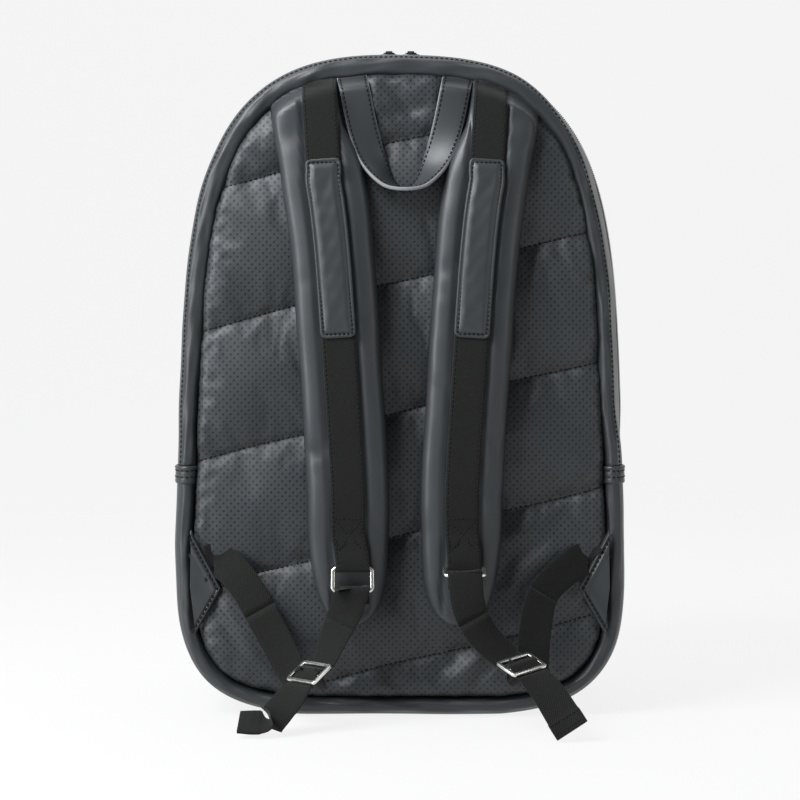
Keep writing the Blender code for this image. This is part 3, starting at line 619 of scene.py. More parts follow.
def overlap(line, depth, y):
    """How far the back rim rolls over the panel, at the top and on the upper left."""
    x, z = line[:, 0], line[:, 1]
    place = np.maximum(ease(z, 0.20, 0.30) * (x < 0), ease(z, 0.44, 0.475))
    return RIM_OVERLAP * place * ease(depth, 0.0060, 0.0130) * (y < -0.06)


def wobble(line, depth, y):
    """Waviness of the rolled leather, strongest on the roll, with real puckers at the corners."""
    x, z = line[:, 0], line[:, 1]
    roll = ease(depth, 0.002, 0.006)
    soft = 0.00035 * ripple(x, z, 0.045, 3) + 0.00018 * ripple(x + depth * 3, z, 0.014, 4) * roll
    corner = ease(-x, 0.09, 0.14) * (1 - ease(z, 0.05, 0.11)) + 0.6 * ease(z, 0.43, 0.48)
    puckers = 0.0007 * corner * ripple(x * 1.4, z * 1.4 + depth * 2, 0.012, 5) * roll
    return soft + puckers + lean(line, y) + overlap(line, depth, y)


def roll_folds(rows, line, towards):
    """Shallow folds that run along the roll and die out, seen where the light rakes it."""
    x, z = line[:, 0][:, None], line[:, 1][:, None]
    depth = np.linalg.norm(rows[:, :, [0, 2]] - line[:, None, :], axis=2)
    on_roll = ease(depth, 0.003, 0.006) * (1 - ease(depth, 0.012, 0.0145))
    rows[:, :, 1] += towards * on_roll * (0.0007 * ripple(x, z, 0.030, 11)
                                          + 0.0005 * ripple(x + depth * 6, z - depth * 5, 0.016, 12))
    return rows


def leather_shell(name, line, profile, body, replaced, folded):
    rows = swept(line, profile, wobble)
    for towards, crest in folded:
        near = np.abs(rows[:, :, 1] - crest) < 0.02
        bent = roll_folds(rows.copy(), line, towards)
        rows = np.where(near[:, :, None], bent, rows)
    leather_sheet(name, rows, GUSSET_THICKNESS, body, replaced)
    return rows


back_roll = rim_profile(BACK_Y, -1)
front_roll = rim_profile(FRONT_Y, 1)
wall = [(0.0, ZIP_Y - TAPE_WIDTH - GAP), (0.0, -0.048), (0.0, -0.058), (0.0, -0.067)]
rear_rows = leather_shell("gusset_rear_leather", ARCH, np.vstack([wall, back_roll]), "bag",
                          "rear_gusset", [(-1, BACK_Y)])
front_wall = [(0.0, y) for y in (0.062, 0.045, 0.025, 0.0, ZIP_Y + TAPE_WIDTH + GAP)]
FLAP_LINE = ARCH.copy()
FLAP_LINE[:, 1] = np.maximum(FLAP_LINE[:, 1], SEAM_Z + GAP)
front_rows = leather_shell("gusset_front_leather", FLAP_LINE, np.vstack([front_roll[::-1], front_wall]),
                           "front_flap", "flap_gusset", [(1, FRONT_Y)])
boot_wall = [(0.0, y) for y in np.linspace(0.066, -0.066, 9)]
BOOT_LINE = BOOT.copy()
BOOT_LINE[:, 1] = np.minimum(BOOT_LINE[:, 1], SEAM_Z - GAP)
BOOT_PROFILE = np.vstack([front_roll[::-1], boot_wall, back_roll])
boot_rows = leather_shell("gusset_boot_leather", BOOT_LINE, BOOT_PROFILE, "bag", "boot_gusset",
                          [(-1, BACK_Y), (1, FRONT_Y)])


STITCH_COLUMN = 9
STITCH_LOWEST_Z = 0.193


def rim_stitches(name, rows, column, body):
    """Stitches along one column of a swept shell, above the seam."""
    line = rows[:, column]
    outs = -np.cross(unit(np.gradient(rows, axis=1)[:, column]),
                     unit(np.gradient(rows, axis=0)[:, column]))
    inside = line[:, 2] > STITCH_LOWEST_Z
    stitches(name, line[inside], outs[inside], body)


rim_stitches("stitches_rim_rear", rear_rows, len(wall) + STITCH_COLUMN, "bag")
rim_stitches("stitches_zip_rear", rear_rows, 0, "bag")
rim_stitches("stitches_rim_front", front_rows, len(front_roll) - 1 - STITCH_COLUMN, "front_flap")
rim_stitches("stitches_zip_front", front_rows, front_rows.shape[1] - 1, "front_flap")
print("gusset points:", rear_rows.shape, boot_rows.shape)

# %% [markdown]
# ## Quilted back panel
# Foam is laid behind the perforated leather and five slanting rows of stitches pull it in, so
# each channel swells between two seams. A flat grid with the outline's shape is first raised by
# formula, with pulled folds where the straps and corners tug at it. Cloth simulation then blows
# it out from behind, held at the seams and the edge: the slack leather makes its own puckers.

# %% Panel shape
PANEL_FACE = BACK_Y - 0.0012
QUILT_SLOPE = 0.25
QUILT_HEIGHTS = (0.041, 0.137, 0.232, 0.330, 0.434)
PANEL_COLUMNS, PANEL_ROWS = 150, 224
PANEL_MIDDLE = np.array((0.0, 0.245))
PANEL_HALF = (0.152, 0.235)
EDGE_DROP = 0.0072
CHANNEL_RISE = 0.0066
SEAM_DEPTH = 0.0028
# folds pulled into the leather: from (x, z) to (x, z), width, depth below or above the surface
FOLDS = [
    ((-0.012, 0.478), (0.012, 0.452), 0.0050, 0.0022), ((-0.030, 0.470), (-0.006, 0.446), 0.0045, -0.0016),
    ((0.002, 0.476), (0.028, 0.462), 0.0050, -0.0018), ((-0.028, 0.448), (0.026, 0.462), 0.0060, 0.0026),
    ((0.106, 0.462), (0.124, 0.452), 0.0035, -0.0022), ((0.108, 0.451), (0.128, 0.441), 0.0040, 0.0022),
    ((0.112, 0.440), (0.140, 0.402), 0.0070, -0.0014), ((-0.092, 0.462), (-0.108, 0.438), 0.0055, 0.0016),
    ((-0.146, 0.095), (-0.118, 0.048), 0.0055, 0.0026), ((-0.139, 0.094), (-0.106, 0.046), 0.0045, -0.0018),
    ((-0.136, 0.058), (-0.088, 0.030), 0.0050, -0.0020), ((-0.128, 0.048), (-0.072, 0.026), 0.0045, 0.0024),
    ((-0.108, 0.066), (-0.084, 0.044), 0.0065, -0.0014), ((-0.120, 0.128), (-0.062, 0.118), 0.0075, 0.0024),
    ((0.062, 0.150), (0.148, 0.172), 0.0090, 0.0012), ((0.070, 0.112), (0.128, 0.150), 0.0085, 0.0022),
    ((0.075, 0.092), (0.118, 0.132), 0.0060, -0.0016), ((0.118, 0.098), (0.146, 0.112), 0.0060, 0.0022),
    ((0.122, 0.078), (0.140, 0.098), 0.0060, -0.0016), ((0.020, 0.028), (0.052, 0.052), 0.0060, 0.0020),
    ((0.036, 0.026), (0.066, 0.050), 0.0060, -0.0022), ((0.052, 0.024), (0.076, 0.046), 0.0050, 0.0022),
    ((-0.012, 0.336), (0.020, 0.330), 0.0070, 0.0010), ((-0.152, 0.345), (-0.138, 0.300), 0.0050, 0.0012),
    ((0.146, 0.250), (0.152, 0.300), 0.0050, 0.0012), ((0.130, 0.330), (0.148, 0.345), 0.0060, -0.0012),
]


def panel_loop(distance):
    return np.vstack([inset(ARCH, distance)[:-1], inset(BOOT, distance)[:-1]])


def reach_to(loop, turn):
    """Distance from the panel's middle to the outline, at given angles."""
    arms = loop - PANEL_MIDDLE
    angle, reach = np.arctan2(arms[:, 1], arms[:, 0]), np.linalg.norm(arms, axis=1)
    order = np.argsort(angle)
    return np.interp(turn, angle[order], reach[order], period=2 * math.pi)


def fill_outline(loop, columns, rows):
    """A grid of (x, z) that fills the outline, its outer ring exactly on the edge."""
    across, down = np.meshgrid(np.linspace(-1, 1, columns), np.linspace(1, -1, rows))
    box = np.stack([across * PANEL_HALF[0], down * PANEL_HALF[1]], axis=2)
    turn = np.arctan2(box[:, :, 1], box[:, :, 0])
    reach = np.maximum(np.abs(across), np.abs(down)) * reach_to(loop, turn)
    return PANEL_MIDDLE + np.stack([np.cos(turn), np.sin(turn)], axis=2) * reach[:, :, None]


def distance_to(line, flat, closed=True):
    """Shortest distance from each flat point to a polyline."""
    ends = np.roll(line, -1, axis=0) if closed else line[1:]
    starts = line if closed else line[:-1]
    best = np.full(flat.shape[:-1], np.inf)
    for a, b in zip(starts, ends):
        d = b - a
        t = np.clip(((flat - a) @ d) / max(d @ d, 1e-12), 0, 1)
        best = np.minimum(best, np.linalg.norm(flat - a - t[..., None] * d, axis=-1))
    return best


def quilt_line(x, height):
    """Where a quilting seam runs: a slanting line with the small drift of hand feeding."""
    return height + QUILT_SLOPE * x + 0.0012 * np.sin(x * 34 + height * 50)


def to_nearest_seam(flat):
    gaps = [np.abs(flat[..., 1] - quilt_line(flat[..., 0], h)) for h in QUILT_HEIGHTS]
    return np.min(gaps, axis=0) / math.sqrt(1 + QUILT_SLOPE ** 2)


def folds_at(flat, folds):
    total = np.zeros(flat.shape[:-1])
    for start, end, width, depth in folds:
        a, d = np.array(start), np.array(end) - np.array(start)
        t = np.clip(((flat - a) @ d) / (d @ d), 0, 1)
        away = np.linalg.norm(flat - a - t[..., None] * d, axis=-1)
        total -= depth * np.exp(-(away / width) ** 2) * (0.35 + 0.65 * np.sin(np.pi * t) ** 0.7)
    return total


def panel_height(flat, edge, seam):
    """How far the leather stands out from the panel's face."""
    x, z = flat[..., 0], flat[..., 1]
    room = 1.0 - 0.80 * ease(z, 0.425, 0.468) * ease(np.abs(x - 0.0037), 0.020, 0.034)
    room = room * (1 - 0.9 * np.exp(-((np.abs(x) - 0.147) / 0.013) ** 2 - ((z - 0.1) / 0.030) ** 2))
    swell = CHANNEL_RISE * room * (1 - np.exp(-seam / 0.0085)) * (1 - 0.35 * np.exp(-edge / 0.016))
    pucker = 0.00045 * np.exp(-seam / 0.0060) * ripple(x * 1.3, z * 0.9, 0.011, 21)
    pull = 0.0008 * np.exp(-edge / 0.012) * ripple(x, z, 0.0075, 22)
    slack = 0.0007 * ripple(x, z, 0.036, 23) * room
    curl = np.clip(1 - edge / 0.0085, 0, 1)
    drop = EDGE_DROP * (1 - np.sqrt(1 - curl ** 2 * 0.999))
    return swell - SEAM_DEPTH + pucker + pull + slack + folds_at(flat, FOLDS) - drop


flat = fill_outline(panel_loop(PANEL_INSET), PANEL_COLUMNS, PANEL_ROWS)
edge = distance_to(panel_loop(PANEL_INSET), flat)
seam = to_nearest_seam(flat)
height = panel_height(flat, edge, seam)
panel = surface("panel_back_quilted", on_plane(flat, PANEL_FACE - height), uv=flat)
print("panel cells:", len(panel.data.polygons))


# %% Panel simulation
def points_of(mesh):
    co = np.zeros(len(mesh.vertices) * 3)
    mesh.vertices.foreach_get("co", co)
    return co.reshape(-1, 3)


HELD_AT_EDGE, HELD_AT_SEAM = 0.0022, 0.0010
PRESSURE, SLACK, CLOTH_STEPS, FARTHEST = 3.0, 0.006, 18, 0.0030


def inflate(obj, held):
    """Blow a skin out from behind, held at its seams, and keep the shape it takes."""
    group = obj.vertex_groups.new(name="sewn")
    group.add([int(n) for n in np.flatnonzero(held)], 1.0, "REPLACE")
    start = points_of(obj.data)
    cloth = obj.modifiers.new("cloth", "CLOTH")
    skin = cloth.settings
    skin.quality = 5
    skin.mass = 0.4
    skin.tension_stiffness = skin.compression_stiffness = 30
    skin.shear_stiffness = 8
    skin.bending_stiffness = 0.4
    skin.use_pressure = True
    skin.uniform_pressure_force = PRESSURE
    skin.shrink_min = -SLACK
    skin.vertex_group_mass = "sewn"
    skin.effector_weights.gravity = 0
    cloth.collision_settings.use_collision = False
    for step in range(1, CLOTH_STEPS + 1):
        bpy.context.scene.frame_set(step)
    graph = bpy.context.evaluated_depsgraph_get()
    moved = points_of(obj.evaluated_get(graph).data) - start
    far = np.linalg.norm(moved, axis=1, keepdims=True)
    moved *= np.minimum(1, FARTHEST / np.maximum(far, 1e-9))
    obj.modifiers.clear()
    obj.vertex_groups.clear()
    obj.data.vertices.foreach_set("co", (start + moved).ravel())
    obj.data.update()
    bpy.context.scene.frame_set(1)
    print(obj.name, "moved by up to", round(float(far.max()) * 1000, 1), "mm")


inflate(panel, ((edge < HELD_AT_EDGE) | (seam < HELD_AT_SEAM)).ravel())
finish_mesh(panel, PERFORATED, "bag", ["back_panel"])


# %% Panel stitches
def panel_out(points):
    """The panel's own height at flat places, from its finished mesh."""
    mesh = points_of(panel.data)
    return np.array([mesh[np.argmin((mesh[:, 0] - x) ** 2 + (mesh[:, 2] - z) ** 2), 1]
                     for x, z in points])


for number, height_z in enumerate(QUILT_HEIGHTS):
    xs = np.linspace(-0.156, 0.156, 160)
    run = np.stack([xs, quilt_line(xs, height_z)], axis=1)
    arms = run - PANEL_MIDDLE
    limit = reach_to(panel_loop(PANEL_INSET), np.arctan2(arms[:, 1], arms[:, 0]))
    run = run[np.linalg.norm(arms, axis=1) < limit - 0.003]
    depth_y = np.convolve(np.pad(panel_out(run), 2, mode="edge"), np.ones(5) / 5, mode="valid")
    line = on_plane(run, depth_y - 0.0002)
    stitches(f"stitches_quilt_{number + 1}", line, same((0, -1.0, 0), line), "bag")

# %% [markdown]
# ## Side bands
# A folded strip of leather covers the seam between the upper body and the boot on each side. It
# is a short piece of the gusset's own profile, standing 1.5 mm proud, with a ridge where its top
# edge is turned over and two rows of stitches.

# %% Side bands
BAND_HEIGHT = 0.0135
BAND_SECTION = [(0.0, 0.0), (0.0002, 0.0011), (0.0012, 0.0015), (0.0040, 0.0014), (0.0050, 0.0011),
                (0.0060, 0.0014), (0.0088, 0.0014), (0.0098, 0.0011), (0.0106, 0.0015),
                (0.0118, 0.0020), (0.0130, 0.0018), (0.0134, 0.0010), (0.0135, 0.0)]
BAND_ROWS = (0.0050, 0.0098)


def side_band(side, sign):
    profile = np.vstack([front_roll[::-1][2:], boot_wall, back_roll[:-2]])
    along = unit(np.gradient(profile, axis=0))
    out = np.stack([along[:, 1], -along[:, 0]], axis=1)
    slope = (BOOT_HALF - SIDE_HALF) / (SEAM_Z - BOOT_CURVE_Z)
    rows = []
    for rise, proud in BAND_SECTION:
        z = SEAM_Z - BAND_HEIGHT + rise
        ring = profile + out * proud
        half = SIDE_HALF + (SEAM_Z - z) * slope
        drift = 0.0004 * np.sin(profile[:, 1] * 60)
        rows.append(np.stack([sign * (half - ring[:, 0]), ring[:, 1], z + drift], axis=1))
    rows = np.array(rows) if sign < 0 else np.array(rows)[:, ::-1]
    band = surface(f"band_{side}_leather", rows)
    finish_mesh(band, LEATHER, "bag", [f"side_band_{side}"])
    face_outs = np.stack([-sign * out[:, 0], out[:, 1], np.zeros(len(out))], axis=1)
    for number, rise in enumerate(BAND_ROWS):
        line = rows[[r for r, _ in BAND_SECTION].index(rise)]
        face = face_outs if sign < 0 else face_outs[::-1]
        stitches(f"stitches_band_{side}_{number + 1}", line, face, "bag")


side_band("left", -1)
side_band("right", 1)

# %% [markdown]
# ## Main zip
# A two-way nylon coil zip runs over the arch. The coil is one thread wound in loops of about
# 1.6 mm pitch, sewn to woven tape on each side; drawn as a real helix it gives the fine serrated
# edge that shows at the right of the bag. Sliders and pulls are black-nickel die castings.

# %% Zip
COIL_RADIUS = 0.0013
COIL_PITCH = 0.0017
COIL_THREAD = 0.00042
COIL_STEPS, COIL_SIDES = 8, 5


def helix(name, line, outs, body, replaced):
    """Nylon thread wound round a line; outs is any direction square to it."""
    line, outs = spaced(line, COIL_PITCH / COIL_STEPS, outs)
    along = unit(np.gradient(line, axis=0))
    outs = square_to(along, outs)
    side = np.cross(along, outs)
    turn = np.arange(len(line)) * 2 * math.pi / COIL_STEPS
    spoke = outs * np.cos(turn)[:, None] + side * np.sin(turn)[:, None]
    centre = line + spoke * (COIL_RADIUS - COIL_THREAD)
    ring = [centre + (spoke * math.cos(a) + along * math.sin(a)) * COIL_THREAD
            for a in np.arange(COIL_SIDES) * 2 * math.pi / COIL_SIDES]
    coil = surface(name, np.stack(ring, axis=1), wrap=True, caps=True)
    return finish_mesh(coil, COIL, body, [replaced])


def zip_side(side, sign, body):
    y = ZIP_Y + sign * (COIL_RADIUS + GAP)
    middle = inset(ARCH, (-(COIL_RADIUS + GAP) + lean(ARCH, y)))
    line = on_plane(middle, y)
    helix(f"zip_coil_{side}_wound", line, same((0.0, 1.0, 0.0), line), body, f"main_zip_coil_{side}")
    profile = [(0.0004, ZIP_Y + sign * 0.0004), (0.0, ZIP_Y + sign * 0.0015),
               (0.0, ZIP_Y + sign * 0.0050), (0.0002, ZIP_Y + sign * 0.0072),
               (0.0010, ZIP_Y + sign * (TAPE_WIDTH + 0.0015))]
    if sign > 0:
        profile = profile[::-1]
    rows = swept(ARCH, profile, lambda l, d, yy: lean(l, yy))
    tape = thickened(surface(f"zip_tape_{side}_woven", rows), TAPE_THICKNESS)
    finish_mesh(tape, ZIP_TAPE, body, [f"main_zip_tape_{side}"])


zip_side("rear", -1, "bag")
zip_side("front", 1, "front_flap")


def axes(place, x, y, z):
    """A matrix that puts a piece's own x, y and z along the given directions."""
    return Matrix.Translation(place) @ Matrix((x, y, z)).transposed().to_4x4()


def solid(name, outline, low, high, frame_matrix, material, body, replaced, bevel):
    """A bevelled plate from outlines in its own x and y, with holes, placed by a matrix."""
    curve = bpy.data.curves.new(name, "CURVE")
    curve.dimensions = "2D"
    curve.fill_mode = "BOTH"
    curve.extrude = (high - low) / 2 - bevel
    curve.bevel_depth = bevel
    curve.bevel_resolution = 2
    curve.offset = -bevel
    for ring in outline:
        spline = curve.splines.new("POLY")
        spline.points.add(len(ring) - 1)
        for point, (x, y) in zip(spline.points, ring):
            point.co = (x, y, 0, 1)
        spline.use_cyclic_u = True
    shape = placed(name + "_curve", curve)
    graph = bpy.context.evaluated_depsgraph_get()
    mesh = bpy.data.meshes.new_from_object(shape.evaluated_get(graph), depsgraph=graph)
    bpy.data.objects.remove(shape)
    mesh.transform(Matrix.Translation((0, 0, (low + high) / 2)))
    mesh.transform(frame_matrix)
    obj = finish_mesh(placed(name, mesh), material, body, replaced)
    mesh.set_sharp_from_angle(angle=math.radians(40))
    return obj


def rounded(half_x, low, high, radius, steps=5):
    """A rectangle with round corners, as points."""
    ring = []
    for sx, y, start in ((1, high, 0), (-1, high, 90), (-1, low, 180), (1, low, 270)):
        cy = y - radius if y == high else y + radius
        for a in np.radians(np.linspace(start, start + 90, steps)):
            ring.append((sx * (half_x - radius) + radius * math.cos(a), cy + radius * math.sin(a)))
    return ring


def oval(y, half_x, half_y):
    return [(half_x * math.cos(a), y + half_y * math.sin(a)) for a in np.arange(20) * math.pi / 10]


SLIDER = (0.0130, 0.0095, 0.0040)
PULL = (0.0070, 0.0300, 0.0016)


def slider_and_pull(name, body_of, replaced, centre, long_axis, out, pull_way, droop):
    """Slider body with its bridge, and the pull hooked through it."""
    long_axis, out = Vector(long_axis), Vector(out)
    place = axes(centre, long_axis, out.cross(long_axis), out)
    length, width, tall = SLIDER
    nose = [(-length / 2, -width * 0.34), (-length * 0.30, -width / 2), (length * 0.34, -width / 2),
            (length / 2, -width * 0.36), (length / 2, width * 0.36), (length * 0.34, width / 2),
            (-length * 0.30, width / 2), (-length / 2, width * 0.34)]
    solid(name + "_slider_cast", [nose], 0.0, tall * 0.62, place, BLACK_NICKEL, body_of[0],
          [replaced[0]], 0.0006)
    bridge = place @ Matrix.Translation((0, 0, tall * 0.60))
    solid(name + "_slider_bridge", [rounded(length * 0.34, -0.0014, 0.0014, 0.0010)], 0.0, tall * 0.40,
          bridge, BLACK_NICKEL, body_of[0], [], 0.0005)
    pull_way = Vector(pull_way)
    hinge = Vector(centre) + out * (tall + 0.0012) + pull_way * (width / 2 - 0.0005)
    leaf_way = pull_way * math.cos(droop) - out * math.sin(droop)
    leaf_out = out * math.cos(droop) + pull_way * math.sin(droop)
    wide, long, thick = PULL
    leaf = axes(hinge, leaf_way.cross(leaf_out), leaf_way, leaf_out)
    ring = [(wide / 2 * 0.72, 0.0), (wide / 2, long * 0.22), (wide / 2 * 0.88, long * 0.86),
            (wide * 0.30, long), (-wide * 0.30, long), (-wide / 2 * 0.88, long * 0.86),
            (-wide / 2, long * 0.22), (-wide / 2 * 0.72, 0.0)]
    holes = [oval(long * 0.13, wide * 0.22, long * 0.065), oval(long * 0.78, wide * 0.20, long * 0.10)]
    solid(name + "_pull_cast", [ring, *holes], -thick / 2, thick / 2, leaf, BLACK_NICKEL, body_of[1],
          [replaced[1]], 0.0004)


for side, sign in (("left", -1), ("right", 1)):
    slider_and_pull(f"main_{side}", (f"main_slider_{side}", f"main_pull_{side}"),
                    (f"main_{side}_slider", f"main_{side}_pull"),
                    (sign * 0.0085, ZIP_Y, SEAM_Z + ARCH_RISE + 2 * COIL_RADIUS + 2 * GAP + 0.0003),
                    (1, 0, 0), (0, 0, 1), (0, 1, 0), math.radians(13))

# %% [markdown]
# ## Shoulder pads
# Each pad is a strip of foam wrapped in smooth leather. The webbing is sewn down its middle and
# pulls the face flat there, so the leather swells on both sides and rolls over at the edges.
# The section below has that shape; it is carried along the CAD pad's own line, and soft creases
# are pressed across it where a hanging strap buckles. At the top each pad, its webbing and the
# handle are trimmed to the rim's inner line and pressed back, because they are sewn in under it.

# %% Pads
STRAP_SHIFT = 0.0037
PAD_THICKNESS = 0.011
PAD_TOP_Z, PAD_BOTTOM_Z = SEAM_Z + ARCH_RISE - 0.0260, 0.0755
# share of the length, distance from the strap axis, width, distance behind the bag's face
PAD_STATIONS = (
    (0.000, 0.0765, 0.052, 0.0025), (0.085, 0.0715, 0.053, 0.0075), (0.173, 0.0610, 0.062, 0.0120),
    (0.299, 0.0540, 0.062, 0.0165), (0.525, 0.0475, 0.061, 0.0215), (0.738, 0.0425, 0.061, 0.0210),
    (0.838, 0.0421, 0.060, 0.0185), (0.928, 0.0408, 0.053, 0.0160), (0.979, 0.0408, 0.040, 0.0145),
    (1.000, 0.0410, 0.024, 0.0140),
)
WEBBING_WIDTH, WEBBING_THICKNESS = 0.025, 0.0013
WEBBING_LIFT = PAD_THICKNESS + 2.5 * GAP + WEBBING_THICKNESS / 2
# the sewn ends: length pressed flat, how flat, and the depth they are pressed to
SEWN_LENGTH, SEWN_PRESS, SEWN_Y = 0.013, 0.80, -0.0872
# heights between which the webbing leaves the pad's middle, and its distance from the centre there
WEBBING_TOP = ((0.405, PAD_TOP_Z), (0.0598, 0.0643))
# creases across a pad: height, which edge they start from, depth, width along the pad
PAD_CREASES = {
    "left": [(0.438, -1, 0.0011, 0.0075), (0.300, 1, 0.0012, 0.0060), (0.284, 1, 0.0008, 0.0055),
             (0.203, -1, 0.0022, 0.0065), (0.188, -1, 0.0006, 0.0060), (0.330, -1, 0.0006, 0.0060),
             (0.400, 1, 0.0007, 0.0050), (0.150, 1, 0.0007, 0.0070)],
    "right": [(0.452, 1, 0.0016, 0.0055), (0.434, 1, 0.0013, 0.0055), (0.380, 1, 0.0006, 0.0070),
              (0.335, -1, 0.0010, 0.0060), (0.318, -1, 0.0007, 0.0060), (0.250, -1, 0.0008, 0.0060),
              (0.215, 1, 0.0008, 0.0060), (0.176, 1, 0.0007, 0.0060)],
}


SEWN_EDGE = inset(ARCH, 0.0147)


def pad_line(sign):
    """The middle of a pad's inner face from the top down, and the pad's width there."""
    length = PAD_TOP_Z - PAD_BOTTOM_Z
    line = smooth([(r, BACK_Y - off, PAD_TOP_Z - share * length)
                   for share, r, width, off in PAD_STATIONS], 12)
    line[:, 0] = STRAP_SHIFT + sign * line[:, 0]
    return line, smooth([(width, 0, 0) for share, r, width, off in PAD_STATIONS], 12)[:, 0]


def sewn_under_rim(rows):
    """Trim the top to the rim's inner line, and press it flat and back where it is sewn in."""
    rows = np.array(rows, float)
    order = np.argsort(SEWN_EDGE[:, 0])
    limit = np.interp(rows[..., 0], SEWN_EDGE[order, 0], SEWN_EDGE[order, 1])
    pressed = SEWN_PRESS * (1 - ease(limit - rows[..., 2], 0, SEWN_LENGTH))
    rows[..., 1] = rows[..., 1] * (1 - pressed) + SEWN_Y * pressed
    rows[..., 2] = np.minimum(rows[..., 2], limit)
    return rows


def pad_at(sign, heights):
    """Points on the middle of a pad's inner face at given heights."""
    line, _ = pad_line(sign)
    return np.stack([np.interp(heights, line[::-1, 2], line[::-1, k]) for k in range(3)], axis=1)


def webbing_shift(sign, heights):
    """The webbing runs straighter than its pad near the top, so it sits off the pad's middle."""
    heights = np.asarray(heights, float)
    reach = np.abs(pad_at(sign, np.atleast_1d(heights))[:, 0] - STRAP_SHIFT).reshape(heights.shape)
    low_z = WEBBING_TOP[0][0]
    off = np.maximum(reach - np.interp(heights, *WEBBING_TOP), 0)
    return -sign * off * ease(heights, low_z - 0.006, low_z + 0.006)


def webbing_at(sign, heights, lift):
    """Points at a lift above the pad, along the webbing's own line."""
    heights = np.asarray(heights, float)
    points = pad_at(sign, heights)
    points[:, 0] += webbing_shift(sign, heights)
    points[:, 1] -= lift
    return points


def pad_across(sign, z):
    rise = np.maximum(0.0, 1 - (PAD_TOP_Z - np.asarray(z)) / 0.034)
    return np.stack([np.ones_like(rise), np.zeros_like(rise), -sign * 0.16 * rise], axis=1)


def pad_section(width, z, sign, creases):
    """A loop of (across, out): flat back, swollen sides, middle pressed by the webbing."""
    half = width / 2
    share = np.concatenate([np.linspace(-1, -0.8, 6)[:-1], np.linspace(-0.8, 0.8, 19),
                            np.linspace(0.8, 1, 6)[1:]])
    a = share * half
    body = PAD_THICKNESS * (1 - np.abs(share) ** 5.5) ** 0.52
    inner = WEBBING_WIDTH / 2 + 0.0008
    beside = np.abs(a - webbing_shift(sign, z))
    wide_enough = ease(half, inner + 0.004, inner + 0.008)
    dip = 0.0013 * wide_enough * (1 - ease(beside, inner - 0.0025, inner + 0.0035))
    pinch = 0.0018 * wide_enough * np.exp(-((beside - inner) / 0.0012) ** 2)
    o = body - dip - pinch + 0.0003 * ripple(a, np.full_like(a, z), 0.02, 31 + int(sign))
    for height, start, depth, wide in creases:
        reach = ease(share * start, -0.1, 0.7)
        o = o - depth * reach * math.exp(-((z - height) / wide) ** 2) * ease(beside, inner, inner + 0.004)
    back = np.linspace(0.94, -0.94, 9)
    bottom = [(s * half, 0.0004 + 0.0010 * (abs(s) ** 6)) for s in back]
    return [(x, max(y, 0.0012)) for x, y in zip(a, o)] + [(x, y) for x, y in bottom]


def sewn_at_top(piece):
    """The pad's end is sewn into the top seam; the piece's placement is baked into its mesh."""
    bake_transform(piece)


def shoulder_pad(side, sign):
    line, widths = pad_line(sign)
    line, wide = spaced(line, 0.0028, widths[:, None])
    width = wide[:, 0]
    tip = line[-1] + np.array((0.0, 0.0, -0.0012))
    line, width = np.vstack([line, tip]), np.r_[width, width[-1] * 0.72]
    line = np.vstack([line[0] + (0, 0, 0.0120), line[0] + (0, 0, 0.0060), line])
    width = np.r_[width[0], width[0], width]
    across = pad_across(sign, line[:, 2])
    buckle = 0.0004 * np.sin(line[:, 2] * 70 + sign)
    rows = lay(line, across, lambda k: pad_section(width[k] + buckle[k], line[k, 2], sign,
                                                   PAD_CREASES[side]))
    pad = surface(f"pad_{side}_wrapped", sewn_under_rim(rows), wrap=True, caps=True)
    finish_mesh(pad, LEATHER, None, [f"pad_{side}"])
    sewn_at_top(pad)


def plain_webbing(k):
    return strap_section(WEBBING_WIDTH, WEBBING_THICKNESS)


def webbing(name, path, across, body, replaced, section=plain_webbing):
    band = sewn_under_rim(lay(path, across, section))
    return finish_mesh(surface(name, band, wrap=True, caps=True), WEBBING, body, replaced)


def webbing_in_two(name, path, across, cut, replaced, upper, lower):
    """One strap made as two pieces, because each can bend across one joint only."""
    band = lay(path, across, plain_webbing)
    for part, rows, nodes, (start_body, end_body, start, end) in (
            ("upper", band[:cut + 1], replaced, upper), ("lower", band[cut:], [], lower)):
        piece = surface(f"{name}_{part}", rows, wrap=True, caps=True)
        finish_mesh(piece, WEBBING, None, nodes)
        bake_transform(piece)


SEWN_FROM_EDGE, FINE_STITCH = 0.0016, 0.00034
RING_WIRE = 0.0015
WRAP_RADIUS = RING_WIRE + WEBBING_THICKNESS / 2 + 0.0005
RING_WIDTH = WEBBING_WIDTH + 2 * (RING_WIRE + 0.0005)
RING_HEIGHT, RING_Z, RING_SHIFT = 0.0170, 0.1170, 0.0025
RING_TILT = {"left": math.radians(12), "right": math.radians(78)}


def ring_place(sign):
    point = pad_at(sign, [RING_Z])[0]
    return np.array((point[0] + RING_SHIFT, point[1] - WEBBING_LIFT - WRAP_RADIUS, RING_Z))


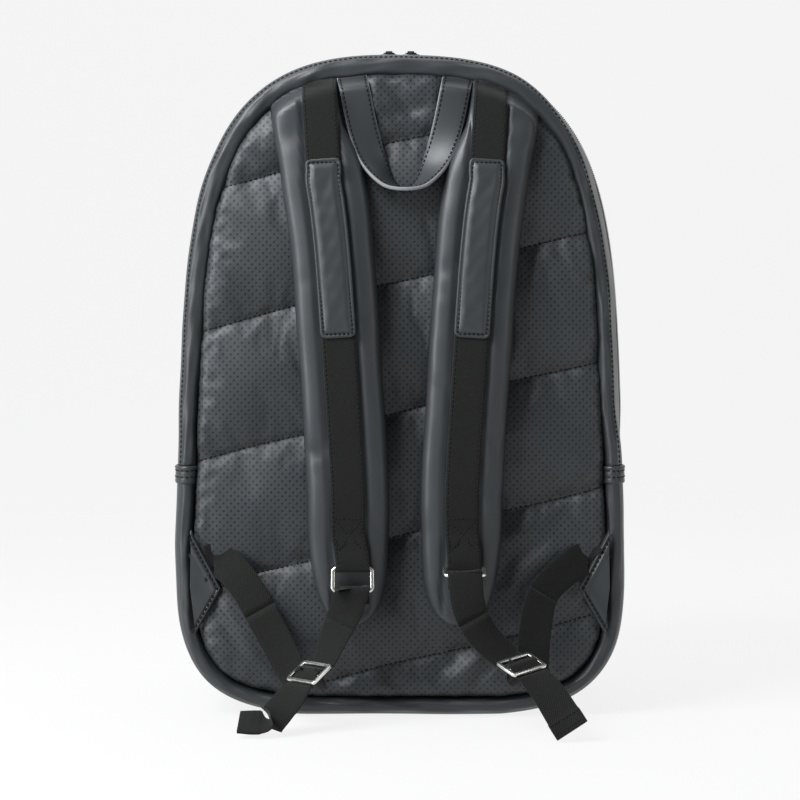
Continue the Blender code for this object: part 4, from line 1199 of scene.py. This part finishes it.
def pad_webbing(side, sign):
    bar = ring_place(sign)
    heights = np.linspace(PAD_TOP_Z + 0.006, bar[2] + 0.025, 90)
    down = webbing_at(sign, heights, WEBBING_LIFT)
    down[:, 2] = heights
    turn = [bar + (0, -WRAP_RADIUS, 0.006)]
    turn += [bar + (0, -WRAP_RADIUS * math.cos(a), -WRAP_RADIUS * math.sin(a))
             for a in np.radians(np.arange(0, 181, 22.5))]
    turn += [bar + (0, WRAP_RADIUS, 0.0050)]
    path = np.vstack([down, smooth([down[-1], *turn], 2)[1:]])
    across = same((1.0, 0, 0), path)
    sewn_at_top(webbing(f"webbing_{side}_pad", path, across, None, [f"pad_webbing_{side}"]))
    front = len(down) + 2
    path, (to_right, out) = path[:front], [v[:front] for v in frames(path, across)[1:]]
    lift = out * WEBBING_THICKNESS / 2
    for name, edge in (("inner", -1), ("outer", 1)):
        edge_line = sewn_under_rim(path + lift + to_right * edge * (WEBBING_WIDTH / 2 - SEWN_FROM_EDGE))
        row = stitches(f"stitches_webbing_{side}_{name}", edge_line, out, None, 0.0034, FINE_STITCH)
        sewn_at_top(row)
    box_stitch(side, path, to_right, out, bar[2] + 0.0115)
    return bar


def box_stitch(side, path, to_right, out, low_z):
    """The square with a cross that locks the webbing to the pad."""
    size = 0.0105
    top_z = low_z + 2 * size + 0.004

    def spot(a, share):
        z = low_z + (top_z - low_z) * share
        k = np.argmin(np.abs(path[:, 2] - z))
        return path[k] + to_right[k] * a * size + out[k] * WEBBING_THICKNESS / 2, out[k]

    tour = [(-1, 0), (1, 0), (1, 1), (-1, 1), (-1, 0), (1, 1), (1, 0), (-1, 1)]
    points, outs = [], []
    for (a0, s0), (a1, s1) in zip(tour, tour[1:]):
        for t in np.linspace(0, 1, 8)[:-1]:
            p, o = spot(a0 + (a1 - a0) * t, s0 + (s1 - s0) * t)
            p[2] = low_z + (top_z - low_z) * (s0 + (s1 - s0) * t)
            points.append(p)
            outs.append(o)
    stitches(f"stitches_box_{side}", points, outs, f"strap_{side}", 0.0030, 0.00036)


PATCH_WIDTH, PATCH_LENGTH, PATCH_THICKNESS = 0.027, 0.132, 0.0022
PATCH_TOP_Z = PAD_TOP_Z - 0.0550
PATCH_CORNER, PATCH_HEM = 0.0042, 0.0028


def patch(side, sign):
    """Leather patch over the upper webbing: round corners, a stitched channel and a puffed middle."""
    low_z = PATCH_TOP_Z - PATCH_LENGTH
    heights = np.r_[np.linspace(PATCH_TOP_Z, PATCH_TOP_Z - PATCH_CORNER, 8)[:-1],
                    np.linspace(PATCH_TOP_Z - PATCH_CORNER, low_z + PATCH_CORNER, 60),
                    np.linspace(low_z + PATCH_CORNER, low_z, 8)[1:]]
    base = WEBBING_LIFT + WEBBING_THICKNESS / 2 + GAP
    path = webbing_at(sign, heights, base)
    end = np.minimum(PATCH_TOP_Z - heights, heights - low_z)
    inside = np.clip(PATCH_CORNER - end, 0, PATCH_CORNER)
    half = (PATCH_WIDTH / 2 - PATCH_CORNER + np.sqrt(np.maximum(PATCH_CORNER ** 2 - inside ** 2, 0))
            + 1e-5)
    share = np.linspace(-1, 1, 27)

    def section(k):
        a = share * half[k]
        to_edge = np.minimum(half[k] - np.abs(a), end[k])
        body = PATCH_THICKNESS * 0.80 * (1 - np.clip(1 - to_edge / 0.0012, 0, 1) ** 3)
        channel = 0.0008 * np.exp(-((to_edge - PATCH_HEM) / 0.0007) ** 2)
        puff = 0.0012 * ease(to_edge, PATCH_HEM, 0.0075)
        slack = 0.00022 * ripple(a, np.full_like(a, heights[k]), 0.007, 41)
        slack = slack * ease(to_edge, 0.004, 0.008)
        top = list(zip(a, body - channel + puff + slack))
        return top + [(half[k] * s, 0.0) for s in (0.98, 0.5, 0, -0.5, -0.98)]

    rows = lay(path, same((1.0, 0, 0), path), section)
    piece = surface(f"patch_{side}_leather", rows, wrap=True, caps=True)
    finish_mesh(piece, LEATHER, None, [f"patch_{side}"])
    sewn_at_top(piece)
    ring = rounded(PATCH_WIDTH / 2 - PATCH_HEM, low_z + PATCH_HEM, PATCH_TOP_Z - PATCH_HEM, 0.0020)
    ring = np.array(ring + ring[:1])
    seat = webbing_at(sign, ring[:, 1], base)
    seat[:, 0] += ring[:, 0]
    seat[:, 1] -= PATCH_THICKNESS * 0.80 - 0.0003
    sewn_at_top(stitches(f"stitches_patch_{side}", seat, same((0, -1.0, 0), seat), None, 0.0032))


# %% [markdown]
# ## Rings, glides and loose webbing
# A flat wire ring joins each pad to the adjuster webbing, which turns round both its bars. Lower
# down, a three-bar glide sets the length: the webbing comes over its middle bar, and the anchor
# webbing from the side wing is sewn round the same bar. All of it follows the CAD routes. The
# adjuster and the anchor are each made in two pieces that meet on the strap, so that each piece
# bends between two bodies only; the anchor's end is tucked in behind the wing.

# %% Rings
def rod(name, points, plane_normal, wide, thick, body, replaced):
    """A closed wire whose section is wide in its plane and thick through it."""
    points = np.asarray(points)
    along = unit(np.roll(points, -1, axis=0) - np.roll(points, 1, axis=0))
    normal = same(plane_normal, points)
    side = unit(np.cross(along, normal))
    a = np.arange(12) * math.pi / 6
    round_off = np.stack([np.sign(np.cos(a)) * np.abs(np.cos(a)) ** 0.8,
                          np.sign(np.sin(a)) * np.abs(np.sin(a)) ** 0.8], axis=1)
    rows = np.array([[p + s * c * w + n * d * thick for c, d in round_off]
                     for p, s, n, w in zip(points, side, normal, wide)])
    rows = np.concatenate([rows, rows[:1]])
    obj = surface(name, rows, wrap=True)
    face_outwards(obj.data, 1e-6)
    return finish_mesh(obj, NICKEL, body, [replaced])


def ring(side, top):
    """A flat wire ring that hangs from its upper bar; returns the lower bar's middle."""
    tilt = RING_TILT[side]
    down = np.array((0, -math.sin(tilt), -math.cos(tilt)))
    right = np.array((1.0, 0, 0))
    corner, half = 0.003, RING_WIDTH / 2
    points, wide = [], []
    for sx, v, start in ((1, RING_HEIGHT, 0), (-1, RING_HEIGHT, 90), (-1, 0, 180), (1, 0, 270)):
        cv = v - corner if v else corner
        for a in np.radians(np.linspace(start, start + 90, 7)):
            points.append(top + right * (sx * (half - corner) + corner * math.cos(a))
                          + down * (cv + corner * math.sin(a)))
            wide.append(0.0012 + 0.0004 * abs(math.cos(a)))
    rod(f"ring_{side}_flattened", points, np.cross(right, down), wide, 0.00125, f"ring_{side}",
        f"ring_{side}")
    return top + down * RING_HEIGHT


# %% Glides and loose webbing
GLIDE_BAR, GLIDE_HEIGHT, GLIDE_THICKNESS = 0.0030, 0.0220, 0.0022
GLIDE_WIDTH = WEBBING_WIDTH + 2 * (GLIDE_BAR + GAP)
GLIDE_CENTRE = {"left": (-0.0665, -0.1425, 0.0425), "right": (0.0880, -0.1560, 0.0505)}
GLIDE_ACROSS = {"left": (0.684, -0.729, 0.013), "right": (0.806, 0.571, 0.152)}
GLIDE_UP = {"left": (0.607, 0.580, 0.540), "right": (-0.589, 0.745, 0.320)}
ADJUSTER_WAY = {
    "left": ((-0.0405, -0.1285, 0.0850), (-0.0500, -0.1315, 0.0640)),
    "right": ((0.0505, -0.1445, 0.0900), (0.0610, -0.1450, 0.0700)),
}
TAIL_WAY = {
    "left": ((-0.0850, -0.1570, 0.0200), (-0.0960, -0.1650, 0.0110), (-0.1165, -0.1640, 0.0100)),
    "right": ((0.1060, -0.1740, 0.0335), (0.1150, -0.1825, 0.0200), (0.1225, -0.1885, 0.0085)),
}
HEM_LENGTH = {"left": 0.0170, "right": 0.0130}
TAIL_ACROSS = {"left": (0.60, 0.73, 0.38), "right": (0.900, -0.200, 0.100)}
WING = ((BOOT_HALF - 0.014, 0.1420), (BOOT_HALF - 0.037, 0.0985), (BOOT_HALF - 0.017, 0.0640))
ANCHOR_START = {"left": (0.0015, -0.1010, 0.0205), "right": (0.0060, -0.1010, 0.0225)}
UNDER_WING = ((0.1530, -0.0938, 0.1130), (0.1455, -0.0946, 0.1180))
ANCHOR_SINK = 0.0055
ANCHOR_WAY = {
    "left": ((-0.1170, -0.1040, 0.1030), (-0.0930, -0.1110, 0.0620), (-0.0770, -0.1210, 0.0350)),
    "right": ((0.1270, -0.1040, 0.1150), (0.1070, -0.1120, 0.0960), (0.0995, -0.1220, 0.0640),
              (0.0970, -0.1340, 0.0370)),
}
ANCHOR_ACROSS = {
    "left": ((0.687, -0.05, 0.727), (0.80, -0.05, 0.60), (0.86, -0.15, 0.47), (0.80, -0.50, 0.25)),
    "right": ((-0.45, -0.05, 0.80), (-0.60, -0.20, 0.70), (-0.85, -0.30, 0.40), (-0.98, -0.20, 0.10),
              (-0.90, -0.45, 0.00)),
}
# the adjuster through its glide: distance up it, and which side of it (in front is 1)
WEAVE = ((0.0155, -1), (0.0105, -1), (0.0080, -0.95), (0.0047, 0), (0.0018, 0.95), (0, 1),
         (-0.0018, 0.95), (-0.0047, 0), (-0.0080, -0.95), (-0.0110, -1))


def glide_frame(side):
    """The glide's own directions (across, up, out) and its centre."""
    across = unit(np.array(GLIDE_ACROSS[side]))
    up = np.array(GLIDE_UP[side])
    up = unit(up - across * (up @ across))
    return across, up, np.cross(across, up), np.array(GLIDE_CENTRE[side])


def glide(side):
    across, up, out, centre = glide_frame(side)
    half, tall, bar = GLIDE_WIDTH / 2, GLIDE_HEIGHT / 2, GLIDE_BAR
    outlines = [rounded(half, -tall, tall, 0.0026), rounded(half - bar, bar / 2, tall - bar, 0.0009),
                rounded(half - bar, -tall + bar, -bar / 2, 0.0009)]
    solid(f"glide_{side}_plated", outlines, -GLIDE_THICKNESS / 2, GLIDE_THICKNESS / 2,
          axes(centre, across, up, out), NICKEL, f"glide_{side}", [f"glide_{side}"],
          0.0007)


def adjuster(side, bar):
    """Webbing from the ring's lower bar, over the glide's middle bar and out below it."""
    across, up, out, centre = glide_frame(side)
    turn = WRAP_RADIUS + 0.0003
    way = np.array(ADJUSTER_WAY[side])
    hang = unit(np.array((0, way[0][1] - bar[1], way[0][2] - bar[2])))
    right = np.array((1.0, 0, 0))
    front = np.cross(right, hang)
    path = [bar + front * turn + hang * 0.010]
    path += [bar + front * turn * math.cos(a) - hang * turn * math.sin(a)
             for a in np.radians((0, 45, 90, 135, 180))]
    path += [point - front * lift for point, lift in zip(way, (0.0016, 0.0))]
    level = (GLIDE_THICKNESS + WEBBING_THICKNESS) / 2 + GAP + 0.0002
    path += [centre + up * v + out * level * n for v, n in WEAVE]
    sides = [right] * 6 + [right * 0.7 + across * 0.3, right * 0.3 + across * 0.7]
    sides += [across] * len(WEAVE)
    path, sides = smooth(path, 5), smooth(sides, 5)
    strap, cut = f"strap_{side}", 32
    webbing_in_two(f"webbing_{side}_adjuster", path, sides, cut, [f"adjuster_webbing_{side}"],
                   (f"ring_{side}", strap, bar, path[cut]),
                   (strap, f"glide_{side}", path[cut], centre + up * 0.0160))


def tail(side):
    """The loose end. Its last stretch is folded back on itself and sewn down."""
    across, up, out, centre = glide_frame(side)
    level = (GLIDE_THICKNESS + WEBBING_THICKNESS) / 2 + GAP + 0.0002
    start = [centre - up * 0.0114 - out * level, centre - up * 0.0150 - out * level]
    path = smooth([*start, *TAIL_WAY[side]], 14)
    share = np.linspace(0, 1, len(path))[:, None]
    sides = across * (1 - share) + np.array(TAIL_ACROSS[side]) * share
    left = lengths(path)[-1] - lengths(path)

    def section(k):
        fold = ease(HEM_LENGTH[side] - left[k], 0, 0.0012)
        ridge = 0.0006 * math.exp(-((left[k] - HEM_LENGTH[side] * 0.55) / 0.0016) ** 2)
        thick = WEBBING_THICKNESS * (1 + 0.9 * fold) + (ridge if side == "left" else 0)
        return strap_section(WEBBING_WIDTH + 0.0008 * fold, thick)

    webbing(f"webbing_{side}_tail", path, sides, f"glide_{side}", [f"webbing_tail_{side}"], section)
    _, to_right, face = frames(path, sides)
    for number, back in enumerate((0.0035, HEM_LENGTH[side] - 0.0022)):
        k = int(np.argmin(np.abs(left - back)))
        reach = np.linspace(-1, 1, 10)[:, None] * (WEBBING_WIDTH / 2 - SEWN_FROM_EDGE)
        row = path[k] + to_right[k] * reach + face[k] * WEBBING_THICKNESS * 0.95
        stitches(f"stitches_hem_{side}_{number + 1}", row, same(face[k], row), f"glide_{side}",
                 0.0030, FINE_STITCH)


def anchor(side):
    """Webbing from under the wing to the glide's middle bar."""
    across, _, out, centre = glide_frame(side)
    if across @ np.array(ANCHOR_ACROSS[side][-1]) < 0:
        across = -across
    level = (GLIDE_THICKNESS + WEBBING_THICKNESS) / 2 + GAP + 0.0003
    under = [centre - out * depth for depth in (0.0060, level)]
    sign = -1 if side == "left" else 1
    out_x, start_y, up_z = ANCHOR_START[side]
    under_wing = [(sign * x, y, z) for x, y, z in UNDER_WING]
    start = (sign * (WING[1][0] + out_x), start_y + ANCHOR_SINK, WING[1][1] + up_z)
    path = smooth([*under_wing, start, *ANCHOR_WAY[side], *under], 10)
    tucked = [ANCHOR_ACROSS[side][0]] * 2
    sides = smooth([*tucked, *ANCHOR_ACROSS[side], across, across], 10)
    strap, cut = f"strap_{side}", len(path) // 2
    webbing_in_two(f"webbing_{side}_anchor", path, sides, cut, [f"anchor_webbing_{side}"],
                   ("bag", strap, path[0], path[cut]), (strap, f"glide_{side}", path[cut], centre))


for side, sign in (("left", -1), ("right", 1)):
    shoulder_pad(side, sign)
    top_bar = pad_webbing(side, sign)
    patch(side, sign)
    adjuster(side, ring(side, top_bar))
    glide(side)
    tail(side)
    anchor(side)
print("straps done")

# %% [markdown]
# ## Side wings
# A triangle of doubled leather at each lower side seam takes the pull of the anchor webbing. Its
# upper edge is turned over a cord, which shows as a double ridge; both free edges are stitched.

# %% Wings
WING_THICKNESS = 0.0012


def wing(side, sign):
    top, tip, low = (np.array((sign * x, z)) for x, z in WING)
    rows = []
    for v in np.linspace(0, 1, 60):
        outer = top + (low - top) * v
        free = top + (tip - top) * v / 0.55 if v < 0.55 else tip + (low - tip) * (v - 0.55) / 0.45
        rows.append([outer + (free - outer) * u for u in np.linspace(-0.12, 1, 60)])
    flat_wing = np.array(rows)
    to_upper = distance_to(np.array([top, tip]), flat_wing, False)
    to_lower = distance_to(np.array([tip, low]), flat_wing, False)
    to_free = np.minimum(to_upper, to_lower)
    body = 0.0026 * (1 - np.clip(1 - to_free / 0.0014, 0, 1) ** 2.5)
    ridge = 0.0012 * np.exp(-((to_upper - 0.0016) / 0.0010) ** 2)
    ridge = ridge + 0.0013 * np.exp(-((to_upper - 0.0054) / 0.0013) ** 2)
    ridge = ridge - 0.0006 * np.exp(-((to_lower - 0.0032) / 0.0007) ** 2)
    slack = 0.0005 * ripple(flat_wing[..., 0], flat_wing[..., 1], 0.011, 51)
    front = PANEL_FACE - GAP - body - ridge - slack * ease(to_free, 0.003, 0.008)
    points = on_plane(flat_wing, front)
    piece = surface(f"wing_{side}_leather", points[:, ::-1] if sign > 0 else points)
    piece = thickened(piece, WING_THICKNESS)
    finish_mesh(piece, LEATHER, "bag", [f"wing_{side}"])
    centre = (top + tip + low) / 3
    for name, a, b, depth, lift in (("upper", top, tip, 0.0034, 0.0031),
                                    ("lower", tip, low, 0.0030, 0.0028)):
        inward = unit(centre - (a + b) / 2)
        way = unit(b - a)
        inward = unit(inward - way * (inward @ way))
        line = np.linspace(a, b, 24)[1:-1] + inward * depth
        spots = on_plane(line, PANEL_FACE - GAP - lift)
        stitches(f"stitches_wing_{side}_{name}", spots, same((0, -1.0, 0), spots), "bag")


wing("left", -1)
wing("right", 1)

# %% [markdown]
# ## Grab handle
# A doubled leather band hangs in a loop from the top seam. Its arms lie flat on the back and the
# band turns edge-on at the bottom of the loop, so the light sealed edge shows as a thin line.
# The section is a flat band whose faces take the leather and whose edges take the sealed edge.
# Its ends are sewn in under the rim like those of the pads.

# %% Handle
HANDLE_WIDTH, HANDLE_THICKNESS = 0.0225, 0.0032
SEAM_SHARE = 0.80
EDGE_SPOTS = {15, 16, 32, 33}
HANDLE_AXIS_Y, HANDLE_AXIS_Z = BACK_Y - 0.0060, SEAM_Z + ARCH_RISE - 0.0245
# half the loop: distance from the middle, out from the back, down, and how far turned edge-on
HANDLE_STATIONS = (
    (0.0380, 0.0000, 0.0010, 0.00), (0.0315, 0.0015, 0.0325, 0.10), (0.0240, 0.0045, 0.0555, 0.35),
    (0.0130, 0.0095, 0.0735, 0.75), (0.0000, 0.0125, 0.0790, 1.00),
)


def grab_handle():
    half = [(-0.0405, HANDLE_AXIS_Y + 0.0010, HANDLE_AXIS_Z + 0.0120),
            (-0.0397, HANDLE_AXIS_Y + 0.0005, HANDLE_AXIS_Z + 0.0060)]
    half += [(-r, HANDLE_AXIS_Y - out, HANDLE_AXIS_Z - down) for r, out, down, turn in HANDLE_STATIONS]
    other = [(-x, y, z) for x, y, z in half[-2::-1]]
    path = smooth(half + other, 12) + (STRAP_SHIFT, 0, 0)
    turns = [0.0, 0.0] + [turn for r, out, down, turn in HANDLE_STATIONS]
    turns = smooth([(turn, 0, 0) for turn in turns + turns[-2::-1]], 12)[:, 0]
    ahead = np.gradient(path, axis=0)
    flat_side = unit(np.cross(ahead, (0, 1.0, 0)))
    angle = np.clip(turns, 0, 1)[:, None] * math.pi / 2
    sides = flat_side * np.cos(angle) + np.array((0, 1.0, 0)) * np.sin(angle)
    half_w, edge = HANDLE_WIDTH / 2, HANDLE_THICKNESS / 2
    share = np.linspace(-1, 1, 15)
    crown = edge * (0.86 + 0.10 * np.cos(share * math.pi / 2))
    crown = crown - 0.0003 * np.exp(-((np.abs(share) - SEAM_SHARE) / 0.06) ** 2)
    top = list(zip(share * (half_w - 0.0005), crown))
    rim = [(half_w, edge * 0.45), (half_w, -edge * 0.45)]
    loop = top + rim + [(-a, -o) for a, o in top] + [(-a, -o) for a, o in rim]
    rows = lay(path, sides, lambda k: loop)
    band = surface("handle_band_leather", sewn_under_rim(rows), wrap=True, caps=True)
    band.data.materials.append(LEATHER)
    band.data.materials.append(CUT_EDGE)
    width = len(loop)
    for face in band.data.polygons:
        spots = {v % width for v in face.vertices}
        if len(face.vertices) == 4 and spots & EDGE_SPOTS:
            face.material_index = 1
    band.data.shade_smooth()
    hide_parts("grab_handle")
    parts = [band]
    _, to_side, out = frames(path, sides)
    for name, sign in (("inner", -1), ("outer", 1)):
        for end, face in (("", out), ("_back", -out)):
            line = path + to_side * sign * (half_w * SEAM_SHARE) + face * edge * 0.82
            parts.append(stitches(f"stitches_handle_{name}{end}", sewn_under_rim(line[8:-8]),
                                  face[8:-8], None, 0.0036))
    for part in parts:
        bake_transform(part)


grab_handle()
print("handle done")

# %% [markdown]
# ## Front of the bag
# The front is a plain leather panel that opens with the flap and carries one zipped pocket; the
# boot below it is a plain panel too. Both are softly domed grids with the outline's shape. The
# pocket is a grid as well: its walls, rounded edges and the sunk strip for its zip are all one
# height above the panel, which is how a bellows pocket is cut and sewn from one piece.

# %% Front panels
FRONT_FACE, FRONT_THICKNESS = FRONT_Y + 0.0005, 0.0030


def domed_panel(name, low_z, high_z, body, replaced, seed):
    """A grid between two heights that reaches the front rim's groove on both sides."""
    loop = panel_loop(PANEL_INSET - 0.0015)
    heights = np.linspace(high_z, low_z, int((high_z - low_z) / 0.0045))
    right_side = loop[loop[:, 0] > 0]
    right_side = right_side[np.argsort(right_side[:, 1])]
    reach = np.interp(heights, right_side[:, 1], right_side[:, 0])
    share = np.sin(np.linspace(-1, 1, 72) * math.pi / 2)
    flat_rows = np.stack([share[None, :] * reach[:, None], np.repeat(heights[:, None], 72, axis=1)], axis=2)
    away = distance_to(loop, flat_rows)
    curl = np.clip(1 - away / 0.008, 0, 1)
    rise = 0.0020 * (1 - np.exp(-away / 0.03))
    rise = rise + 0.0008 * ripple(flat_rows[..., 0], flat_rows[..., 1], 0.05, seed)
    rise = rise * ease(np.abs(flat_rows[..., 1] - SEAM_Z), 0.0, 0.020)
    y = FRONT_FACE - 0.0003 + rise - 0.0062 * (1 - np.sqrt(1 - curl ** 2 * 0.999))
    leather_sheet(name, on_plane(flat_rows, y)[:, ::-1], FRONT_THICKNESS, body, replaced,
                  flat_rows[:, ::-1])


domed_panel("front_panel_leather", SEAM_Z + GAP, SEAM_Z + ARCH_RISE - PANEL_INSET + 0.0012,
            "front_flap", "flap_panel", 61)
domed_panel("boot_panel_leather", PANEL_INSET - 0.0012, SEAM_Z - GAP, "bag", "boot_front", 62)

# %% Front pocket
POCKET_HALF, POCKET_LOW, POCKET_HIGH, POCKET_DEPTH, POCKET_CORNER = 0.112, 0.204, 0.384, 0.020, 0.012
MOUTH_LOW, MOUTH_HIGH, MOUTH_HALF = 0.358, 0.368, 0.096
POCKET_FACE = FRONT_FACE + 0.0003 + POCKET_DEPTH


def front_pocket():
    half, low, high, corner = POCKET_HALF, POCKET_LOW, POCKET_HIGH, POCKET_CORNER
    x, z = np.meshgrid(np.linspace(-half, half, 113), np.linspace(high, low, 91))
    box_x = np.abs(x) - (half - corner)
    box_z = np.abs(z - (high + low) / 2) - ((high - low) / 2 - corner)
    past_x, past_z = np.maximum(box_x, 0), np.maximum(box_z, 0)
    over = np.hypot(past_x, past_z) + np.minimum(np.maximum(box_x, box_z), 0) - corner
    away = unit(np.stack([np.sign(x) * past_x, np.sign(z - 0.294) * past_z], axis=2))
    flat_rows = np.stack([x, z], axis=2) - np.maximum(over, 0)[..., None] * away
    within = np.clip(-over, 0, None)
    wall = np.clip(1 - within / 0.0055, 0, 1)
    rise = (POCKET_DEPTH + 0.0006) * np.sqrt(np.maximum(1 - wall ** 2.4, 0))
    middle = (MOUTH_LOW + MOUTH_HIGH) / 2
    sunk = 1 - ease(np.abs(z - middle), 0.0042, 0.0056)
    sunk = sunk * (1 - ease(np.abs(x), MOUTH_HALF - 0.001, MOUTH_HALF + 0.001))
    sag = 0.0010 * (1 - np.exp(-within / 0.03)) * np.exp(-((z - 0.27) / 0.05) ** 2)
    y = FRONT_FACE - 0.0006 + rise - 0.0016 * sunk + sag * 0.8
    y = y + 0.0004 * ripple(x, z, 0.04, 71) * (rise > 0.015)
    shell = surface("pocket_front_leather", on_plane(flat_rows, y)[:, ::-1], uv=flat_rows[:, ::-1])
    finish_mesh(shell, LEATHER, "front_flap", ["pocket_shell"])
    ring = np.array(rounded(half - 0.0095, low + 0.0095, high - 0.0075, 0.010, 8))
    ring = np.vstack([ring, ring[:1]])
    line = on_plane(ring, POCKET_FACE - 0.0005)
    stitches("stitches_pocket", line, same((0, 1.0, 0), line), "front_flap")
    for number, z0 in enumerate((MOUTH_LOW - 0.0022, MOUTH_HIGH + 0.0022)):
        row = on_plane(np.linspace((-MOUTH_HALF, z0), (MOUTH_HALF, z0), 40), POCKET_FACE + 0.0001)
        stitches(f"stitches_mouth_{number + 1}", row, same((0, 1.0, 0), row), "front_flap")
    reach = MOUTH_HALF - GAP
    opening = np.array([(x, middle) for x in np.linspace(reach, -reach, 40)])
    strip("pocket_tape_woven", on_plane(opening, POCKET_FACE - 0.0004), (0, 0, 1.0), (0.0094, 0.0010),
          ZIP_TAPE, "front_flap", ["pocket_zip_tape"])
    coil = on_plane(opening[::-1], POCKET_FACE - 0.0003 + COIL_RADIUS)
    helix("pocket_coil_wound", coil, same((0, 1.0, 0), coil), "front_flap", "pocket_zip_coil")
    box_low, box_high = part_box("pocket_slider")
    slider_and_pull("pocket", ("pocket_slider", "pocket_pull"), ("pocket_slider", "pocket_pull"),
                    ((box_low.x + box_high.x) / 2, box_low.y, middle), (1, 0, 0), (0, 1, 0), (0, 0, -1), 0.0)
    print("front done")


front_pocket()

# %% [markdown]
# ## Inside
# When the flap opens, the inside shows: a taffeta back wall, a padded laptop sleeve with a bound
# top edge and a closing tab, and a stiffening board in the base.

# %% Lining, sleeve and board
def lining_piece(name, flat_grid, y, thickness, replaced):
    """A sheet of lining that faces the inside of the bag."""
    piece = surface(name, on_plane(flat_grid, y)[:, ::-1], uv=flat_grid[:, ::-1])
    finish_mesh(thickened(piece, thickness), LINING, "bag", [replaced])


def lining_wall():
    _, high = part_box("back_foam_sheet")
    flat_grid = fill_outline(panel_loop(PANEL_INSET + 0.0005), 60, 90)
    away = distance_to(panel_loop(PANEL_INSET), flat_grid)
    y = high.y + 0.0003 * ripple(flat_grid[..., 0], flat_grid[..., 1], 0.03, 81)
    lining_piece("lining_back_wall", flat_grid, y - 0.0006 * np.exp(-away / 0.004), 0.0022,
                 "back_foam_sheet")


def laptop_sleeve():
    low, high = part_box("laptop_sleeve")
    x, z = np.meshgrid(np.linspace(low.x, high.x, 90), np.linspace(high.z, low.z, 110))
    to_side = np.minimum(np.minimum(x - low.x, high.x - x), z - low.z)
    wall_curve = np.clip(1 - to_side / 0.010, 0, 1)
    y = low.y + 0.0005 + (high.y - low.y - 0.001) * np.sqrt(np.maximum(1 - wall_curve ** 3, 0))
    y = y + 0.0006 * ripple(x, z, 0.035, 91) * (wall_curve <= 0)
    lining_piece("sleeve_quilted_lining", np.stack([x, z], axis=2), y, 0.0018, "laptop_sleeve")
    edge_z = high.z - 0.0010
    line = smooth([(low.x + 0.001, low.y + 0.003, edge_z), (low.x + 0.003, high.y - 0.006, edge_z),
                   (low.x + 0.010, high.y - 0.0012, edge_z), (0.0, high.y - 0.0010, edge_z),
                   (high.x - 0.010, high.y - 0.0012, edge_z), (high.x - 0.003, high.y - 0.006, edge_z),
                   (high.x - 0.001, low.y + 0.003, edge_z)], 10)
    strip("sleeve_binding", line, (0, 0, 1.0), (0.010, 0.0030), ZIP_TAPE, "bag")
    low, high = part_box("laptop_tab")
    path = smooth([(0, low.y + 0.0008, high.z - 0.003), (0, low.y + 0.006, high.z - 0.0008),
                   (0, high.y - 0.006, high.z - 0.020), (0, high.y - 0.0009, high.z - 0.038),
                   (0, high.y - 0.0009, low.z + 0.002)], 10)
    strip("sleeve_tab_webbing", path, (1.0, 0, 0), (0.030, 0.0015), WEBBING, "bag",
          ["laptop_tab"])


lining_wall()
laptop_sleeve()
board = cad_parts["base_board"]
board.data.materials.clear()
board.data.materials.append(BOARD)
